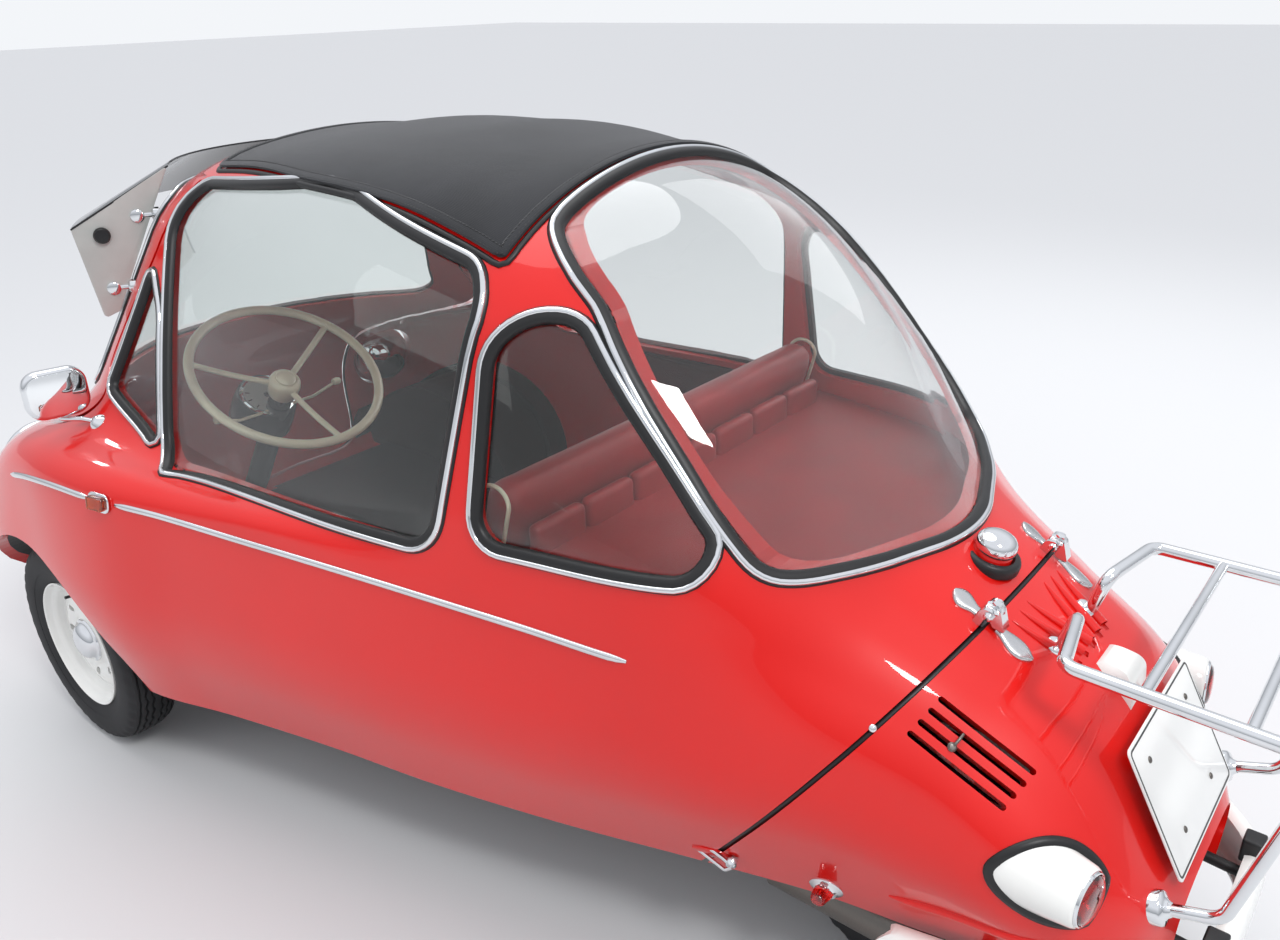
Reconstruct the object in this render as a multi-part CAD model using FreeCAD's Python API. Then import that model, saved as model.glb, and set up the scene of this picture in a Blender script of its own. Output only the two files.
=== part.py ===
import FreeCAD, Part
import math
import os

# Bubble car of the 1950s kind: front door, fabric roof panel, clear rear bubble, twin rear wheels.
# Millimetres. While it is built, y runs rearwards from the nose; x is the car's left, z is up.
# Each piece is moved at the end so that y = 0 is the middle of the overall length.

V = FreeCAD.Vector
X_AXIS, Y_AXIS, Z_AXIS = V(1, 0, 0), V(0, 1, 0), V(0, 0, 1)

# Driving sizes of the body
WALL = 26.0                # wall of body, door and engine cover, as thick as the real double skin
PANEL_GAP = 8.0            # open gap round the door and the engine cover
SEAT_CLEARANCE = 0.3       # between a piece and what it is seated on
FAN_AXIS_Y = 700.0         # upright axis that the nose is swept round
CROWN_HOLE = 36.0          # radius left open round that axis, under the canvas
GLASS_INSET = 7.0          # depth of the glass below the skin
GLASS_THICK = 4.0
REACH = 900.0              # half length of the cutting prisms
FAN_LENGTH = 1300.0        # length of the cutting wedges from the fan axis
FLOOR_Z = 290.0
WELL_X = 425.0             # inner face of the wheel wells
SHELF_Z = 738.0
MIDDLE_Y = 1325.0          # middle of the whole length, from the nose
RUNNING_CLEARANCE = 0.05
STUB_RADIUS = 20.0
PIN_RADIUS = 14.0
KINGPIN_X = 545.0
VISOR_ANGLE = 62.0         # half angle of the sun visor seen from the fan axis
VISOR_STEP = 10.0          # its cheeks stand off the door's frame by this
HEADLAMP = (500.0, 52.0, 548.0)
LAMP_WAY = (0.10, -1.0, 0.16)
DOOR_HINGE = (410.0, 0.0)  # upright axis in the valley between the door and the left wing
COVER_HINGE = (2228.0, 742.0)   # axis across the car above the cover's top seam
WHEEL_HUB = (250.0, 739.0, 805.0)
COLUMN_FOOT = (250.0, 415.0, 310.0)

# Wheels and axles
WHEELBASE = 1760.0
FRONT_AXLE_Y = 400.0
FRONT_TRACK = 1220.0
REAR_TRACK = 220.0
TYRE_RADIUS = 239.0
TYRE_WIDTH = 112.0
RIM_RADIUS = 141.0
RIM_WIDTH = 88.0
RIM_LIP = 7.0
ARCH_RADIUS = 318.0
ARCH_Y = 374.0
ARCH_Z = 190.0
REAR_AXLE_Y = FRONT_AXLE_Y + WHEELBASE
AXLE_Z = TYRE_RADIUS

# Half sections of the body. Columns: place (fan angle from the car's side towards the nose, or y),
# then the corners of the half section as (half width, height):
# sill, widest part, shoulder, belt, cant rail, crown. Corners are rounded by tangent arcs.
NOSE_SECTIONS = [
    (0, (645, 235), (702, 420), (672, 742), (546, 752), (356, 1258), (0, 1290)),
    (20, (672, 235), (752, 420), (728, 730), (578, 768), (336, 1246), (0, 1290)),
    (45, (840, 240), (905, 420), (840, 640), (600, 745), (318, 1234), (0, 1290)),
    (60, (715, 248), (788, 430), (762, 612), (604, 740), (310, 1228), (0, 1290)),
    (75, (662, 255), (740, 435), (722, 605), (608, 738), (304, 1224), (0, 1290)),
    (90, (625, 258), (702, 440), (692, 600), (606, 738), (300, 1222), (0, 1290)),
]
SIDE_SECTIONS = [
    (FAN_AXIS_Y,) + NOSE_SECTIONS[0][1:],
    (900, (592, 238), (655, 430), (628, 735), (540, 748), (402, 1276), (0, 1312)),
    (1150, (534, 243), (606, 440), (580, 735), (536, 760), (424, 1280), (0, 1327)),
    (1400, (486, 248), (560, 450), (540, 725), (518, 790), (422, 1258), (0, 1316)),
    (1650, (425, 254), (515, 460), (500, 690), (484, 830), (388, 1192), (0, 1280)),
    (1900, (352, 260), (460, 475), (452, 680), (425, 850), (282, 1014), (0, 1112)),
    (2100, (300, 266), (392, 480), (374, 630), (305, 725), (165, 805), (0, 832)),
    (2250, (276, 270), (350, 450), (325, 580), (255, 650), (150, 706), (0, 716)),
    (2400, (240, 272), (320, 400), (300, 500), (210, 570), (130, 606), (0, 612)),
    (2500, (180, 275), (240, 350), (220, 420), (180, 440), (120, 452), (0, 455)),
    (2540, (120, 284), (160, 330), (148, 374), (118, 396), (80, 405), (0, 408)),
]
CORNER_SHARE = (0.45, 0.40, 0.35, 0.40)   # tangent length of each rounding over its shorter side
SKIN_CHORDS = 3            # facets across each rounding of the skin and of the glass
INNER_CHORDS = 2           # the same on the hidden inner face
TUBE_SIDES = 8             # facets round a bent tube

# Outlines of openings. Side view corners: (y, z, corner radius).
SIDE_WINDOW = [(772, 742, 75), (1500, 768, 65), (1552, 1180, 75), (1150, 1272, 500), (640, 1222, 85)]
QUARTER_WINDOW = [(606, 1080, 20), (676, 1000, 90), (752, 758, 18), (530, 832, 24)]
REAR_SIDE_WINDOW = [(1566, 1262, 80), (1572, 796, 52), (1985, 812, 42)]
BUBBLE = [(1564, 1500, 5), (1564, 1240, 42), (1700, 1140, 250), (1995, 808, 100), (2300, 786, 5), (2300, 1500, 5)]
# Plan corners of the canvas: (x, y, radius)
CANVAS = [(-292, 701, 20), (292, 701, 20), (350, 1060, 900), (368, 1548, 12), (-368, 1548, 12), (-350, 1060, 900)]
# The door's outline seen from the fan axis. Columns: height, angle from straight ahead, reach of the skin
DOOR = [(302, 23.0, 660), (308, 26.6, 670), (326, 29.0, 690), (360, 29.6, 740), (560, 30.0, 745), (640, 33.0, 700),
        (690, 43.0, 670), (740, 59.0, 620), (778, 67.0, 600), (805, 69.0, 585), (880, 67.5, 525), (960, 69.0, 470),
        (1065, 74.5, 430), (1160, 80.0, 330), (1226, 83.0, 245)]
SCREEN = [(786, 46.0, 590), (793, 52.0, 585), (815, 56.5, 575), (880, 58.0, 525), (960, 59.0, 470),
          (1065, 62.0, 430), (1150, 66.0, 380), (1186, 66.0, 350), (1197, 60.0, 335)]
# Fittings of the engine cover on the left; each next one is a step further
VENT = ((260, 2219, 666), (239, 2345, 594))       # ends of the upper slot in the flank
VENT_STEP = V(16.5, -6, -11.5)
VENT_COUNT = 4
VENT_WIDTH = 9.0
VENT_WAY = V(0.605, 0.467, 0.641)                 # straight out of the skin there
LOUVRE = ((34, 2244, 720), (4, 2330, 665))        # ends of the inner raised louvre on top
LOUVRE_STEP = V(28, 0, -2.5)
LOUVRE_COUNT = 3
BUMPER_PATH = [(322, 2190, 245), (289, 2470, 273), (134, 2592, 285), (-134, 2592, 285), (-289, 2470, 273),
               (-322, 2190, 245)]
BUMPER_BEND = 110.0
# Section of the bumper's channel: (outwards, up)
BUMPER_SECTION = [(-14, -44), (4, -50), (16, -36), (20, -12), (20, 14), (16, 36), (4, 46), (-14, 42), (-14, 37),
                  (2, 40), (10.5, 33), (14, 12), (14, -12), (10.5, -33), (2, -44), (-14, -39)]
RACK_Z = 742.0
RACK_TUBE = 10.0
RACK_BAR = 8.0
# The engine cover's seam in side view runs from the sill up to the deck
SEAM_LOW = (1922.0, 290.0)
SEAM_HIGH = (2230.0, 728.0)


def rounded(points, closed, shares=None):
    """Rounds a polyline's corners by tangent arcs. points: (u, v, radius); returns 2-D strokes."""
    count = len(points)
    at = [V(p[0], p[1], 0) for p in points]
    strokes = []
    cuts = {}
    corners = range(count) if closed else range(1, count - 1)
    for i in corners:
        before, here, after = at[i - 1], at[i], at[(i + 1) % count]
        back, ahead = before - here, after - here
        half = back.getAngle(ahead) / 2
        if shares:
            reach = shares[i - 1] * min(back.Length, ahead.Length)
        else:
            reach = min(points[i][2] / math.tan(half), 0.48 * min(back.Length, ahead.Length))
        start = here + back.normalize() * reach
        end = here + ahead.normalize() * reach
        bisector = (back + ahead).normalize()
        radius = reach * math.tan(half)
        middle = here + bisector * (reach / math.cos(half) - radius)
        cuts[i] = (start, middle, end)
    order = list(corners)
    if not closed:
        strokes.append((at[0], cuts[order[0]][0]))
    for k, i in enumerate(order):
        strokes.append(cuts[i])
        if k + 1 < len(order):
            strokes.append((cuts[i][2], cuts[order[k + 1]][0]))
        elif closed:
            strokes.append((cuts[i][2], cuts[order[0]][0]))
    return strokes


def moved_corners(points, distance):
    """Moves a closed outline's corners outwards by a distance, with its radii."""
    count = len(points)
    at = [V(p[0], p[1], 0) for p in points]
    area = sum(at[i - 1].x * at[i].y - at[i].x * at[i - 1].y for i in range(count))
    turn = 1 if area > 0 else -1
    result = []
    for i in range(count):
        one = (at[i] - at[i - 1]).normalize()
        two = (at[(i + 1) % count] - at[i]).normalize()
        normal_one = V(one.y, -one.x, 0) * turn
        normal_two = V(two.y, -two.x, 0) * turn
        shift = (normal_one + normal_two) * (distance / (1 + normal_one.dot(normal_two)))
        corner = at[i] + shift
        convex = one.cross(two).z * turn > 0
        radius = points[i][2] + (distance if convex else -distance)
        result.append((corner.x, corner.y, max(radius, 2.0)))
    return result


def edges_of(strokes, place):
    """Turns 2-D strokes into edges: two points make a line, three an arc."""
    edges = []
    for stroke in strokes:
        ends = [place(p.x, p.y) for p in stroke]
        if (ends[0] - ends[-1]).Length < 0.01:
            continue
        if len(ends) == 2:
            edges.append(Part.LineSegment(*ends).toShape())
        else:
            edges.append(Part.Arc(*ends).toShape())
    return edges


def prism(points, view, low, high, grow=0.0):
    """Extrudes a rounded outline. view is side (y, z), front (x, z) or plan (x, y)."""
    def place(u, v):
        if view == "side":
            return V(low, u, v)
        if view == "front":
            return V(u, low, v)
        return V(u, v, low)
    ways = {"side": X_AXIS, "front": Y_AXIS, "plan": Z_AXIS}
    outline = moved_corners(points, grow) if grow else points
    wire = Part.Wire(edges_of(rounded(outline, True), place))
    return Part.Face(wire).extrude(ways[view] * (high - low))


def inset_corners(row, inset, drop=0.0):
    """A half section's corners moved inwards by a distance; drop lengthens it below the sill."""
    at = [V(c[0], c[1], 0) for c in row[1:]]
    result = []
    last = len(at) - 1
    for i, corner in enumerate(at):
        one = (at[i] - at[i - 1]).normalize() if i > 0 else (at[1] - at[0]).normalize()
        two = (at[i + 1] - at[i]).normalize() if i < last else V(-1, 0, 0)
        normal_one, normal_two = V(-one.y, one.x, 0), V(-two.y, two.x, 0)
        shift = (normal_one + normal_two) * (inset / (1 + normal_one.dot(normal_two)))
        moved = corner + shift
        if i == 0:
            moved = V(moved.x, corner.y, 0) - one * (drop / one.y)
        if i == last:
            moved = V(0, corner.y - inset, 0)
        result.append(moved)
    return result


def chords_of(stroke, count):
    """Divides an arc into equal chords."""
    arc = Part.Arc(*stroke)
    first, last = arc.FirstParameter, arc.LastParameter
    points = [arc.value(first + (last - first) * k / count) for k in range(count + 1)]
    return [tuple(points[k:k + 2]) for k in range(count)]


def half_profile(row, inset, drop=0.0):
    """Strokes of a half section from the sill to where the crown's arc starts, and the crown's top."""
    at = inset_corners(row, inset, drop)
    points = [(p.x, p.y, 0) for p in at]
    count = INNER_CHORDS if inset >= WALL else SKIN_CHORDS
    strokes = []
    for stroke in rounded(points, False, CORNER_SHARE):
        strokes += [stroke] if len(stroke) == 2 else chords_of(stroke, count)
    return strokes, at[-1]


def crown_middle(start, top):
    """Point halfway out along the crown's arc, which is level at the top."""
    rise = top.y - start.y
    radius = (start.x ** 2 + rise ** 2) / (2 * rise)
    half_width = start.x / 2
    return V(half_width, top.y - radius + math.sqrt(radius ** 2 - half_width ** 2), 0)


def closed_section(row, inset, drop=0.0):
    """Whole section across the car at one place of the length."""
    strokes, top = half_profile(row, inset, drop)
    start = strokes[-1][-1]
    middle = crown_middle(start, top)
    strokes = strokes + [(start, middle), (middle, top)]
    other_side = [tuple(V(-p.x, p.y, 0) for p in reversed(s)) for s in reversed(strokes)]
    base = (V(-strokes[0][0].x, strokes[0][0].y, 0), strokes[0][0])

    def place(u, v):
        return V(u, row[0], v)
    return Part.Wire(edges_of(strokes + other_side + [base], place))


def solid_of_sections(inset, drop=0.0):
    """Loft of the body behind the fan axis, moved inwards by an inset."""
    return Part.makeLoft([closed_section(row, inset, drop) for row in SIDE_SECTIONS], True, True)


def upright(u, v):
    """Point of an upright plane through the fan axis, before it is turned round the axis."""
    return V(u, 0, v)


def nose_layer(outer, inner):
    """Layer of the nose between two insets, swept round the fan axis from side to side."""
    wires = []
    rows = NOSE_SECTIONS + [(180 - row[0],) + row[1:] for row in reversed(NOSE_SECTIONS[:-1])]
    for row in rows:
        sides = []
        for inset in (outer, inner):
            strokes, top = half_profile(row, inset)
            start = strokes[-1][-1]
            middle = crown_middle(start, top)
            end = middle + (top - middle) * ((middle.x - CROWN_HOLE) / middle.x)
            sides.append(strokes + [(start, middle), (middle, end)])
        back = [tuple(reversed(s)) for s in reversed(sides[1])]
        join_top = (sides[0][-1][-1], back[0][0])
        join_sill = (back[-1][-1], sides[0][0][0])
        flat = Part.Wire(edges_of(sides[0] + [join_top] + back + [join_sill], upright))
        wires.append(turned(flat, (0, 0, 0), (0, 0, 1), -row[0]))
    layer = Part.makeLoft(wires, True, True)
    layer.translate(V(0, FAN_AXIS_Y, 0))
    return layer


def fan_tool(rows, grow=0.0):
    """Wedge seen from the fan axis, lofted through plan sections at the rows' heights."""
    wires = []
    widest = max(range(len(rows)), key=lambda i: (rows[i][1], i))
    for i, (height, angle, reach) in enumerate(rows):
        turn = math.radians(angle) + grow / reach
        side = V(FAN_LENGTH * math.sin(turn), FAN_AXIS_Y - FAN_LENGTH * math.cos(turn), 0)
        level = height + (grow if i >= widest else -grow)
        front = FAN_AXIS_Y - FAN_LENGTH - REACH / 2
        plan = [(0, FAN_AXIS_Y), (side.x, side.y), (side.x, front), (-side.x, front), (-side.x, side.y)]
        wires.append(Part.makePolygon([V(x, y, level) for x, y in plan + plan[:1]]))
    return Part.makeLoft(wires, True, True)


def box(x0, x1, y0, y1, z0, z1):
    return Part.makeBox(x1 - x0, y1 - y0, z1 - z0, V(x0, y0, z0))


def rod(start, end, radius, end_radius=None):
    """Round bar between two points, tapered if it has an end radius."""
    start, end = V(*start), V(*end)
    way = end - start
    if end_radius is None:
        return Part.makeCylinder(radius, way.Length, start, way)
    return Part.makeCone(radius, end_radius, way.Length, start, way)


def slot_tool(start, end, width, way, depth):
    """Round-ended slot between two points, both ways along a direction."""
    start, end, way = V(*start), V(*end), V(*way).normalize()
    side = (end - start).cross(way).normalize() * (width / 2)
    corners = [p - way * depth for p in (start + side, end + side, end - side, start - side)]
    slab = Part.Face(Part.makePolygon(corners + corners[:1])).extrude(way * 2 * depth)
    return slab.fuse([rod(p - way * depth, p + way * depth, width / 2) for p in (start, end)])


def swept(points, bend, section):
    """Bar along a line whose corners are bent to a radius. Section corners: (sideways, up)."""
    at = [V(*p) for p in points]
    edges = []
    start = at[0]
    for i in range(1, len(at) - 1):
        back, ahead = at[i - 1] - at[i], at[i + 1] - at[i]
        half = back.getAngle(ahead) / 2
        reach = bend / math.tan(half)
        one = at[i] + back.normalize() * reach
        two = at[i] + ahead.normalize() * reach
        middle = at[i] + (back + ahead).normalize() * (bend / math.sin(half) - bend)
        edges.append(Part.LineSegment(start, one).toShape())
        edges.append(Part.Arc(one, middle, two).toShape())
        start = two
    edges.append(Part.LineSegment(start, at[-1]).toShape())
    way = (at[1] - at[0]).normalize()
    side = way.cross(Z_AXIS if abs(way.z) < 0.9 else X_AXIS).normalize()
    up = side.cross(way)
    corners = [at[0] + side * a + up * b for a, b in section]
    ring = Part.makePolygon(corners + corners[:1])
    return Part.Wire(edges).makePipeShell([ring], True, False)


def tube_path(points, radius, bend):
    """Round tube along a bent line."""
    turns = [math.tau * (k + 0.5) / TUBE_SIDES for k in range(TUBE_SIDES)]
    return swept(points, bend, [(radius * math.cos(t), radius * math.sin(t)) for t in turns])


def mirrored(shape):
    return shape.mirror(V(0, 0, 0), X_AXIS)


def side_of(shape, side):
    return shape if side == "left" else mirrored(shape)


def turned(shape, centre, axis, degrees):
    result = shape.copy()
    result.rotate(V(*centre), V(*axis), degrees)
    return result


def revolved(profile, centre, axis, across):
    """Revolves (along, out) points round an axis through a centre; across is the out direction."""
    centre, axis, across = V(*centre), V(*axis).normalize(), V(*across).normalize()
    points = [centre + axis * a + across * r for a, r in profile]
    wire = Part.makePolygon(points + points[:1])
    return Part.Face(wire).revolve(centre, axis, 360)


def reach_at(height):
    """Reach of the windscreen's plane of the skin from the fan axis."""
    low, high = NOSE_SECTIONS[1][4], NOSE_SECTIONS[1][5]
    return low[0] + (high[0] - low[0]) * (height - low[1]) / (high[1] - low[1])


def revolve_sector(profile, half_angle):
    """Revolves (reach, height) points round the fan axis, evenly to both sides of straight ahead."""
    points = [V(0, FAN_AXIS_Y - r, z) for r, z in profile]
    face = Part.Face(Part.makePolygon(points + points[:1]))
    return turned(face, (0, FAN_AXIS_Y, 0), (0, 0, 1), -half_angle).revolve(V(0, FAN_AXIS_Y, 0), Z_AXIS, 2 * half_angle)


def outermost(shape):
    """The piece of a cut shape that lies furthest from the body's middle."""
    middle = V(0, 1100, 700)
    return max(shape.Solids, key=lambda s: (s.CenterOfMass - middle).Length)


def tyre_shape():
    """Tyre: straight tread, bulged walls and a bead that seats in the rim's well."""
    half = TYRE_WIDTH / 2
    bead = RIM_RADIUS + SEAT_CLEARANCE
    inside = RIM_WIDTH / 2 - 6 - SEAT_CLEARANCE
    lip = RIM_RADIUS + RIM_LIP + SEAT_CLEARANCE
    wall = [(inside, bead), (inside, lip), (half - 2, bead + 34), (half, bead + 58), (half * 0.64, TYRE_RADIUS)]
    profile = wall + [(-a, r) for a, r in reversed(wall)]
    return revolved(profile, (0, 0, 0), (1, 0, 0), (0, 0, 1))


def rim_shape():
    """Rim, disc and hub as one; the disc is dished outwards (+x) and carries the hub cap."""
    half = RIM_WIDTH / 2
    r = RIM_RADIUS
    lip = r + RIM_LIP
    profile = [(-half, r - 10), (-half, lip), (-half + 6, lip), (-half + 6, r), (half - 6, r), (half - 6, lip),
               (half, lip), (half, r - 12), (24, 96), (20, 60), (34, 54), (34, 0), (-10, 0), (-10, 34), (12, 46),
               (12, r - 20)]
    return revolved(profile, (0, 0, 0), (1, 0, 0), (0, 0, 1))


def put(shape, x, y, z):
    moved = shape.copy()
    moved.translate(V(x, y, z))
    return moved


# Layers of the skin that the pieces are cut from
nose_wall = nose_layer(0.0, WALL)
nose_glass = nose_layer(GLASS_INSET, GLASS_INSET + GLASS_THICK)
nose_seat = nose_layer(-SEAT_CLEARANCE, 20.0)
nose_hollow = nose_layer(WALL - 6, WALL + 60)
rear_solid = solid_of_sections(0.0)
rear_hollow = solid_of_sections(WALL, 60.0).cut(box(-REACH, REACH, 2540 - WALL, 2700, 0, 900))
rear_wall = rear_solid.cut(rear_hollow)
rear_glass = solid_of_sections(GLASS_INSET).cut(solid_of_sections(GLASS_INSET + GLASS_THICK, 60.0))
rear_seat = solid_of_sections(-SEAT_CLEARANCE)
rear_lining = solid_of_sections(WALL + SEAT_CLEARANCE, 60.0)
strip_nose = nose_layer(-7.0, -SEAT_CLEARANCE)
strip_rear = solid_of_sections(-7.0).cut(rear_seat)
crown_plug = rod((0, FAN_AXIS_Y, 1290 - WALL), (0, FAN_AXIS_Y, 1289.2), CROWN_HOLE + 2)

door_tool = fan_tool(DOOR)
screen_tool = fan_tool(SCREEN)
slope = (SEAM_HIGH[0] - SEAM_LOW[0]) / (SEAM_HIGH[1] - SEAM_LOW[1])
TAIL_OUTLINE = [(SEAM_LOW[0] - slope * 190, 100, 0), (SEAM_LOW[0] + slope * 1000, SEAM_LOW[1] + 1000, 0),
                (3300, SEAM_LOW[1] + 1000, 0), (3300, 100, 0)]


def side_prism(points, grow=0.0):
    return prism(points, "side", -REACH, REACH, grow)


def sharp_prism(points, grow=0.0):
    """Side view prism with sharp corners."""
    outline = moved_corners(points, grow) if grow else points
    corners = [V(-REACH, y, z) for y, z, r in outline]
    return Part.Face(Part.makePolygon(corners + corners[:1])).extrude(V(2 * REACH, 0, 0))


nodes = {}

# Body shell: nose and rear walls less the openings
wall = nose_wall.fuse(crown_plug).fuse(rear_wall)
tail_tool = sharp_prism(TAIL_OUTLINE)
arch = rod((-REACH, ARCH_Y, ARCH_Z), (-480, ARCH_Y, ARCH_Z), ARCH_RADIUS)
openings = [
    fan_tool(DOOR, PANEL_GAP),
    side_prism(SIDE_WINDOW),
    side_prism(QUARTER_WINDOW),
    side_prism(REAR_SIDE_WINDOW),
    side_prism(BUBBLE),
    prism(CANVAS, "plan", 1150, 1500, -26),
    sharp_prism(TAIL_OUTLINE, PANEL_GAP),
    arch,
    mirrored(arch),
]
lamp_hole = revolved([(-94, 0), (-94, 40.3), (-40, 84.4), (6, 94.3), (80, 94.3), (80, 0)], HEADLAMP, LAMP_WAY, (1, 0.10, 0))
openings += [lamp_hole, mirrored(lamp_hole)]
shell = wall
for tool in openings:
    shell = shell.cut(tool)
shell = max(shell.Solids, key=lambda one: one.Volume)

# Door hinge: a pin between two lugs on the wing, turning in the door's eye
hx, hy = DOOR_HINGE
pin = rod((hx, hy, 340), (hx, hy, 450), 8)
for low in (340, 434):
    lug = box(hx - 2, hx + 26, hy, hy + 46, low, low + 16).fuse(rod((hx, hy, low), (hx, hy, low + 16), 14))
    pin = pin.fuse(lug.cut(nose_hollow))
shell = shell.fuse(pin)
# Cover hinge: two pins, each between two lugs on the deck
cy, cz = COVER_HINGE
for sign in (1, -1):
    hinge = rod((106 * sign, cy, cz), (146 * sign, cy, cz), 7)
    for inner in (106, 134):
        lug = rod((inner * sign, cy, cz), ((inner + 12) * sign, cy, cz), 11)
        lug = lug.fuse(box(*sorted((inner * sign, (inner + 12) * sign)), 2190, cy, cz - 9, cz + 11))
        hinge = hinge.fuse(lug.fuse(box(*sorted((inner * sign, (inner + 12) * sign)), 2190, 2216, cz - 30, cz + 11)))
    shell = shell.fuse(hinge)
nodes["body_shell"] = shell

# Glass in the body
for name, outline in (("side_window", SIDE_WINDOW), ("quarter_window", QUARTER_WINDOW),
                      ("rear_side_window", REAR_SIDE_WINDOW)):
    tool = side_prism(outline, -SEAT_CLEARANCE)
    pane = rear_glass.common(tool)
    if min(y for y, z, r in outline) < FAN_AXIS_Y:
        pane = pane.fuse(nose_glass.common(tool))
    for side in ("left", "right"):
        sign = 1 if side == "left" else -1
        half = [s for s in pane.Solids if s.CenterOfMass.x * sign > 0]
        nodes[name + "_" + side] = half[0] if len(half) == 1 else half[0].fuse(half[1:])
nodes["rear_bubble"] = rear_glass.common(side_prism(BUBBLE, -SEAT_CLEARANCE))

# Door
panel = nose_wall.common(door_tool).cut(screen_tool)
eye = rod((hx, hy, 357), (hx, hy, 433), 14)
eye = eye.fuse(box(hx - 66, hx, hy - 10, hy + 6, 357, 433)).fuse(box(hx - 66, hx - 42, hy - 10, hy + 52, 357, 433).cut(nose_hollow))
panel = panel.fuse(eye)
nodes["door_panel"] = panel.cut(rod((hx, hy, 350), (hx, hy, 440), 8 + RUNNING_CLEARANCE))
nodes["windscreen"] = nose_glass.common(fan_tool(SCREEN, -SEAT_CLEARANCE))

# Roof canvas lies on the roof round its opening
canvas_layer = solid_of_sections(-6.0).cut(solid_of_sections(-SEAT_CLEARANCE, 60.0))
nodes["roof_canvas"] = canvas_layer.common(prism(CANVAS, "plan", 1150, 1500))

# Engine cover
cover = rear_wall.common(tail_tool)
for sign in (1, -1):
    x0, x1 = sorted((119.5 * sign, 132.5 * sign))
    eye = rod((119.5 * sign, cy, cz), (132.5 * sign, cy, cz), 13)
    eye = eye.fuse([box(x0, x1, cy, 2264, cz - 13, cz), box(x0, x1, 2240, 2264, cz - 50, cz)])
    cover = cover.fuse(eye).cut(rod((100 * sign, cy, cz), (150 * sign, cy, cz), 7 + RUNNING_CLEARANCE))
louvre_seats = []
for sign in (1, -1):
    for step in range(LOUVRE_COUNT):
        start, end = [V(*p) + LOUVRE_STEP * step for p in LOUVRE]
        along = end - start
        mouth = rod(end - along * 0.35, end + along * 0.1, 6)
        hood = rod(start, end, 3, 9).cut(mouth)
        seat = rod(start, end + along * 0.1, 3 + SEAT_CLEARANCE, 9.6 + SEAT_CLEARANCE)
        if sign < 0:
            hood, mouth, seat = mirrored(hood), mirrored(mouth), mirrored(seat)
        cover = cover.cut(mouth).fuse(hood.cut(rear_lining))
        louvre_seats.append(seat)
    for step in range(VENT_COUNT):
        slot = slot_tool(*[V(*p) + VENT_STEP * step for p in VENT], VENT_WIDTH, VENT_WAY, 45)
        cover = cover.cut(slot if sign > 0 else mirrored(slot))
nodes["engine_cover"] = cover

# Floor, wheel wells and bulkhead
floor = box(-640, 640, FAN_AXIS_Y, 1652, FLOOR_Z, FLOOR_Z + 18).common(rear_lining)
floor = floor.fuse(box(-WELL_X, WELL_X, 165, FAN_AXIS_Y, FLOOR_Z, FLOOR_Z + 18))
well_ring = rod((WELL_X - 10, ARCH_Y, ARCH_Z), (640, ARCH_Y, ARCH_Z), ARCH_RADIUS + 10)
well_ring = well_ring.cut(rod((WELL_X, ARCH_Y, ARCH_Z), (700, ARCH_Y, ARCH_Z), ARCH_RADIUS))
well_ring = well_ring.cut(box(WELL_X - 20, 700, 0, 800, -200, FLOOR_Z))
well_ring = well_ring.cut(nose_layer(-60.0, WALL + SEAT_CLEARANCE))
well = max(well_ring.Solids, key=lambda s: s.Volume)
bulkhead = box(-600, 600, 1640, 1652, FLOOR_Z, SHELF_Z - 1).common(rear_lining)
nodes["floor_pan"] = floor.fuse([well, mirrored(well), bulkhead])
nodes["rear_shelf"] = box(-560, 560, 1590, 2170, SHELF_Z, SHELF_Z + 22).common(rear_lining)

SEAT_Z = FLOOR_Z + 18 + SEAT_CLEARANCE
# Seat: a cushion and a backrest, extruded side profiles with rounded edges
cushion = prism([(1010, SEAT_Z, 12), (1480, SEAT_Z, 10), (1480, 430, 40), (1010, 462, 55)], "side", -430, 430)
nodes["seat_cushion"] = cushion
backrest = prism([(1425, 446, 40), (1500, 440, 40), (1622, 880, 45), (1540, 892, 45)], "side", -450, 450)
nodes["seat_back"] = backrest

# Steering column with the instrument pod
column_way = V(*WHEEL_HUB) - V(*COLUMN_FOOT)
column_way.normalize()
hub = V(*WHEEL_HUB)
foot = hub - column_way * ((hub.z - FLOOR_Z - 18 - 16) / column_way.z)
column = rod(foot, hub - column_way * 60, 24)
column = column.fuse(rod(hub - column_way * 60, hub - column_way * 2, 11))
foot_plate = rod((foot.x, foot.y, FLOOR_Z + 18 + SEAT_CLEARANCE), (foot.x, foot.y, FLOOR_Z + 30), 46)
up_front = V(0, -column_way.z, column_way.y)
pod_base = hub - column_way * 150 + up_front * 40
pod = rod(pod_base, pod_base + column_way * 75, 66, 60)
nodes["steering_column"] = column.fuse([foot_plate, pod])

# Steering wheel: rim, three spokes and a boss that turns on the column's top
rim_section = [(10 * math.sin(math.tau * k / TUBE_SIDES), 190 + 10 * math.cos(math.tau * k / TUBE_SIDES))
               for k in range(TUBE_SIDES)]
rim = revolved(rim_section, hub + column_way * 30, column_way, X_AXIS)
spokes = []
for turn in (90, 210, 330):
    spoke = rod(hub, hub + X_AXIS * 186 + column_way * 30, 6)
    spokes.append(turned(spoke, hub, column_way, turn))
boss = rod(hub - column_way * 30, hub + column_way * 22, 34, 26)
bore = rod(hub - column_way * 40, hub + column_way * 0, 11 + RUNNING_CLEARANCE)
nodes["steering_wheel"] = boss.fuse(spokes + [rim]).cut(bore)

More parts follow.
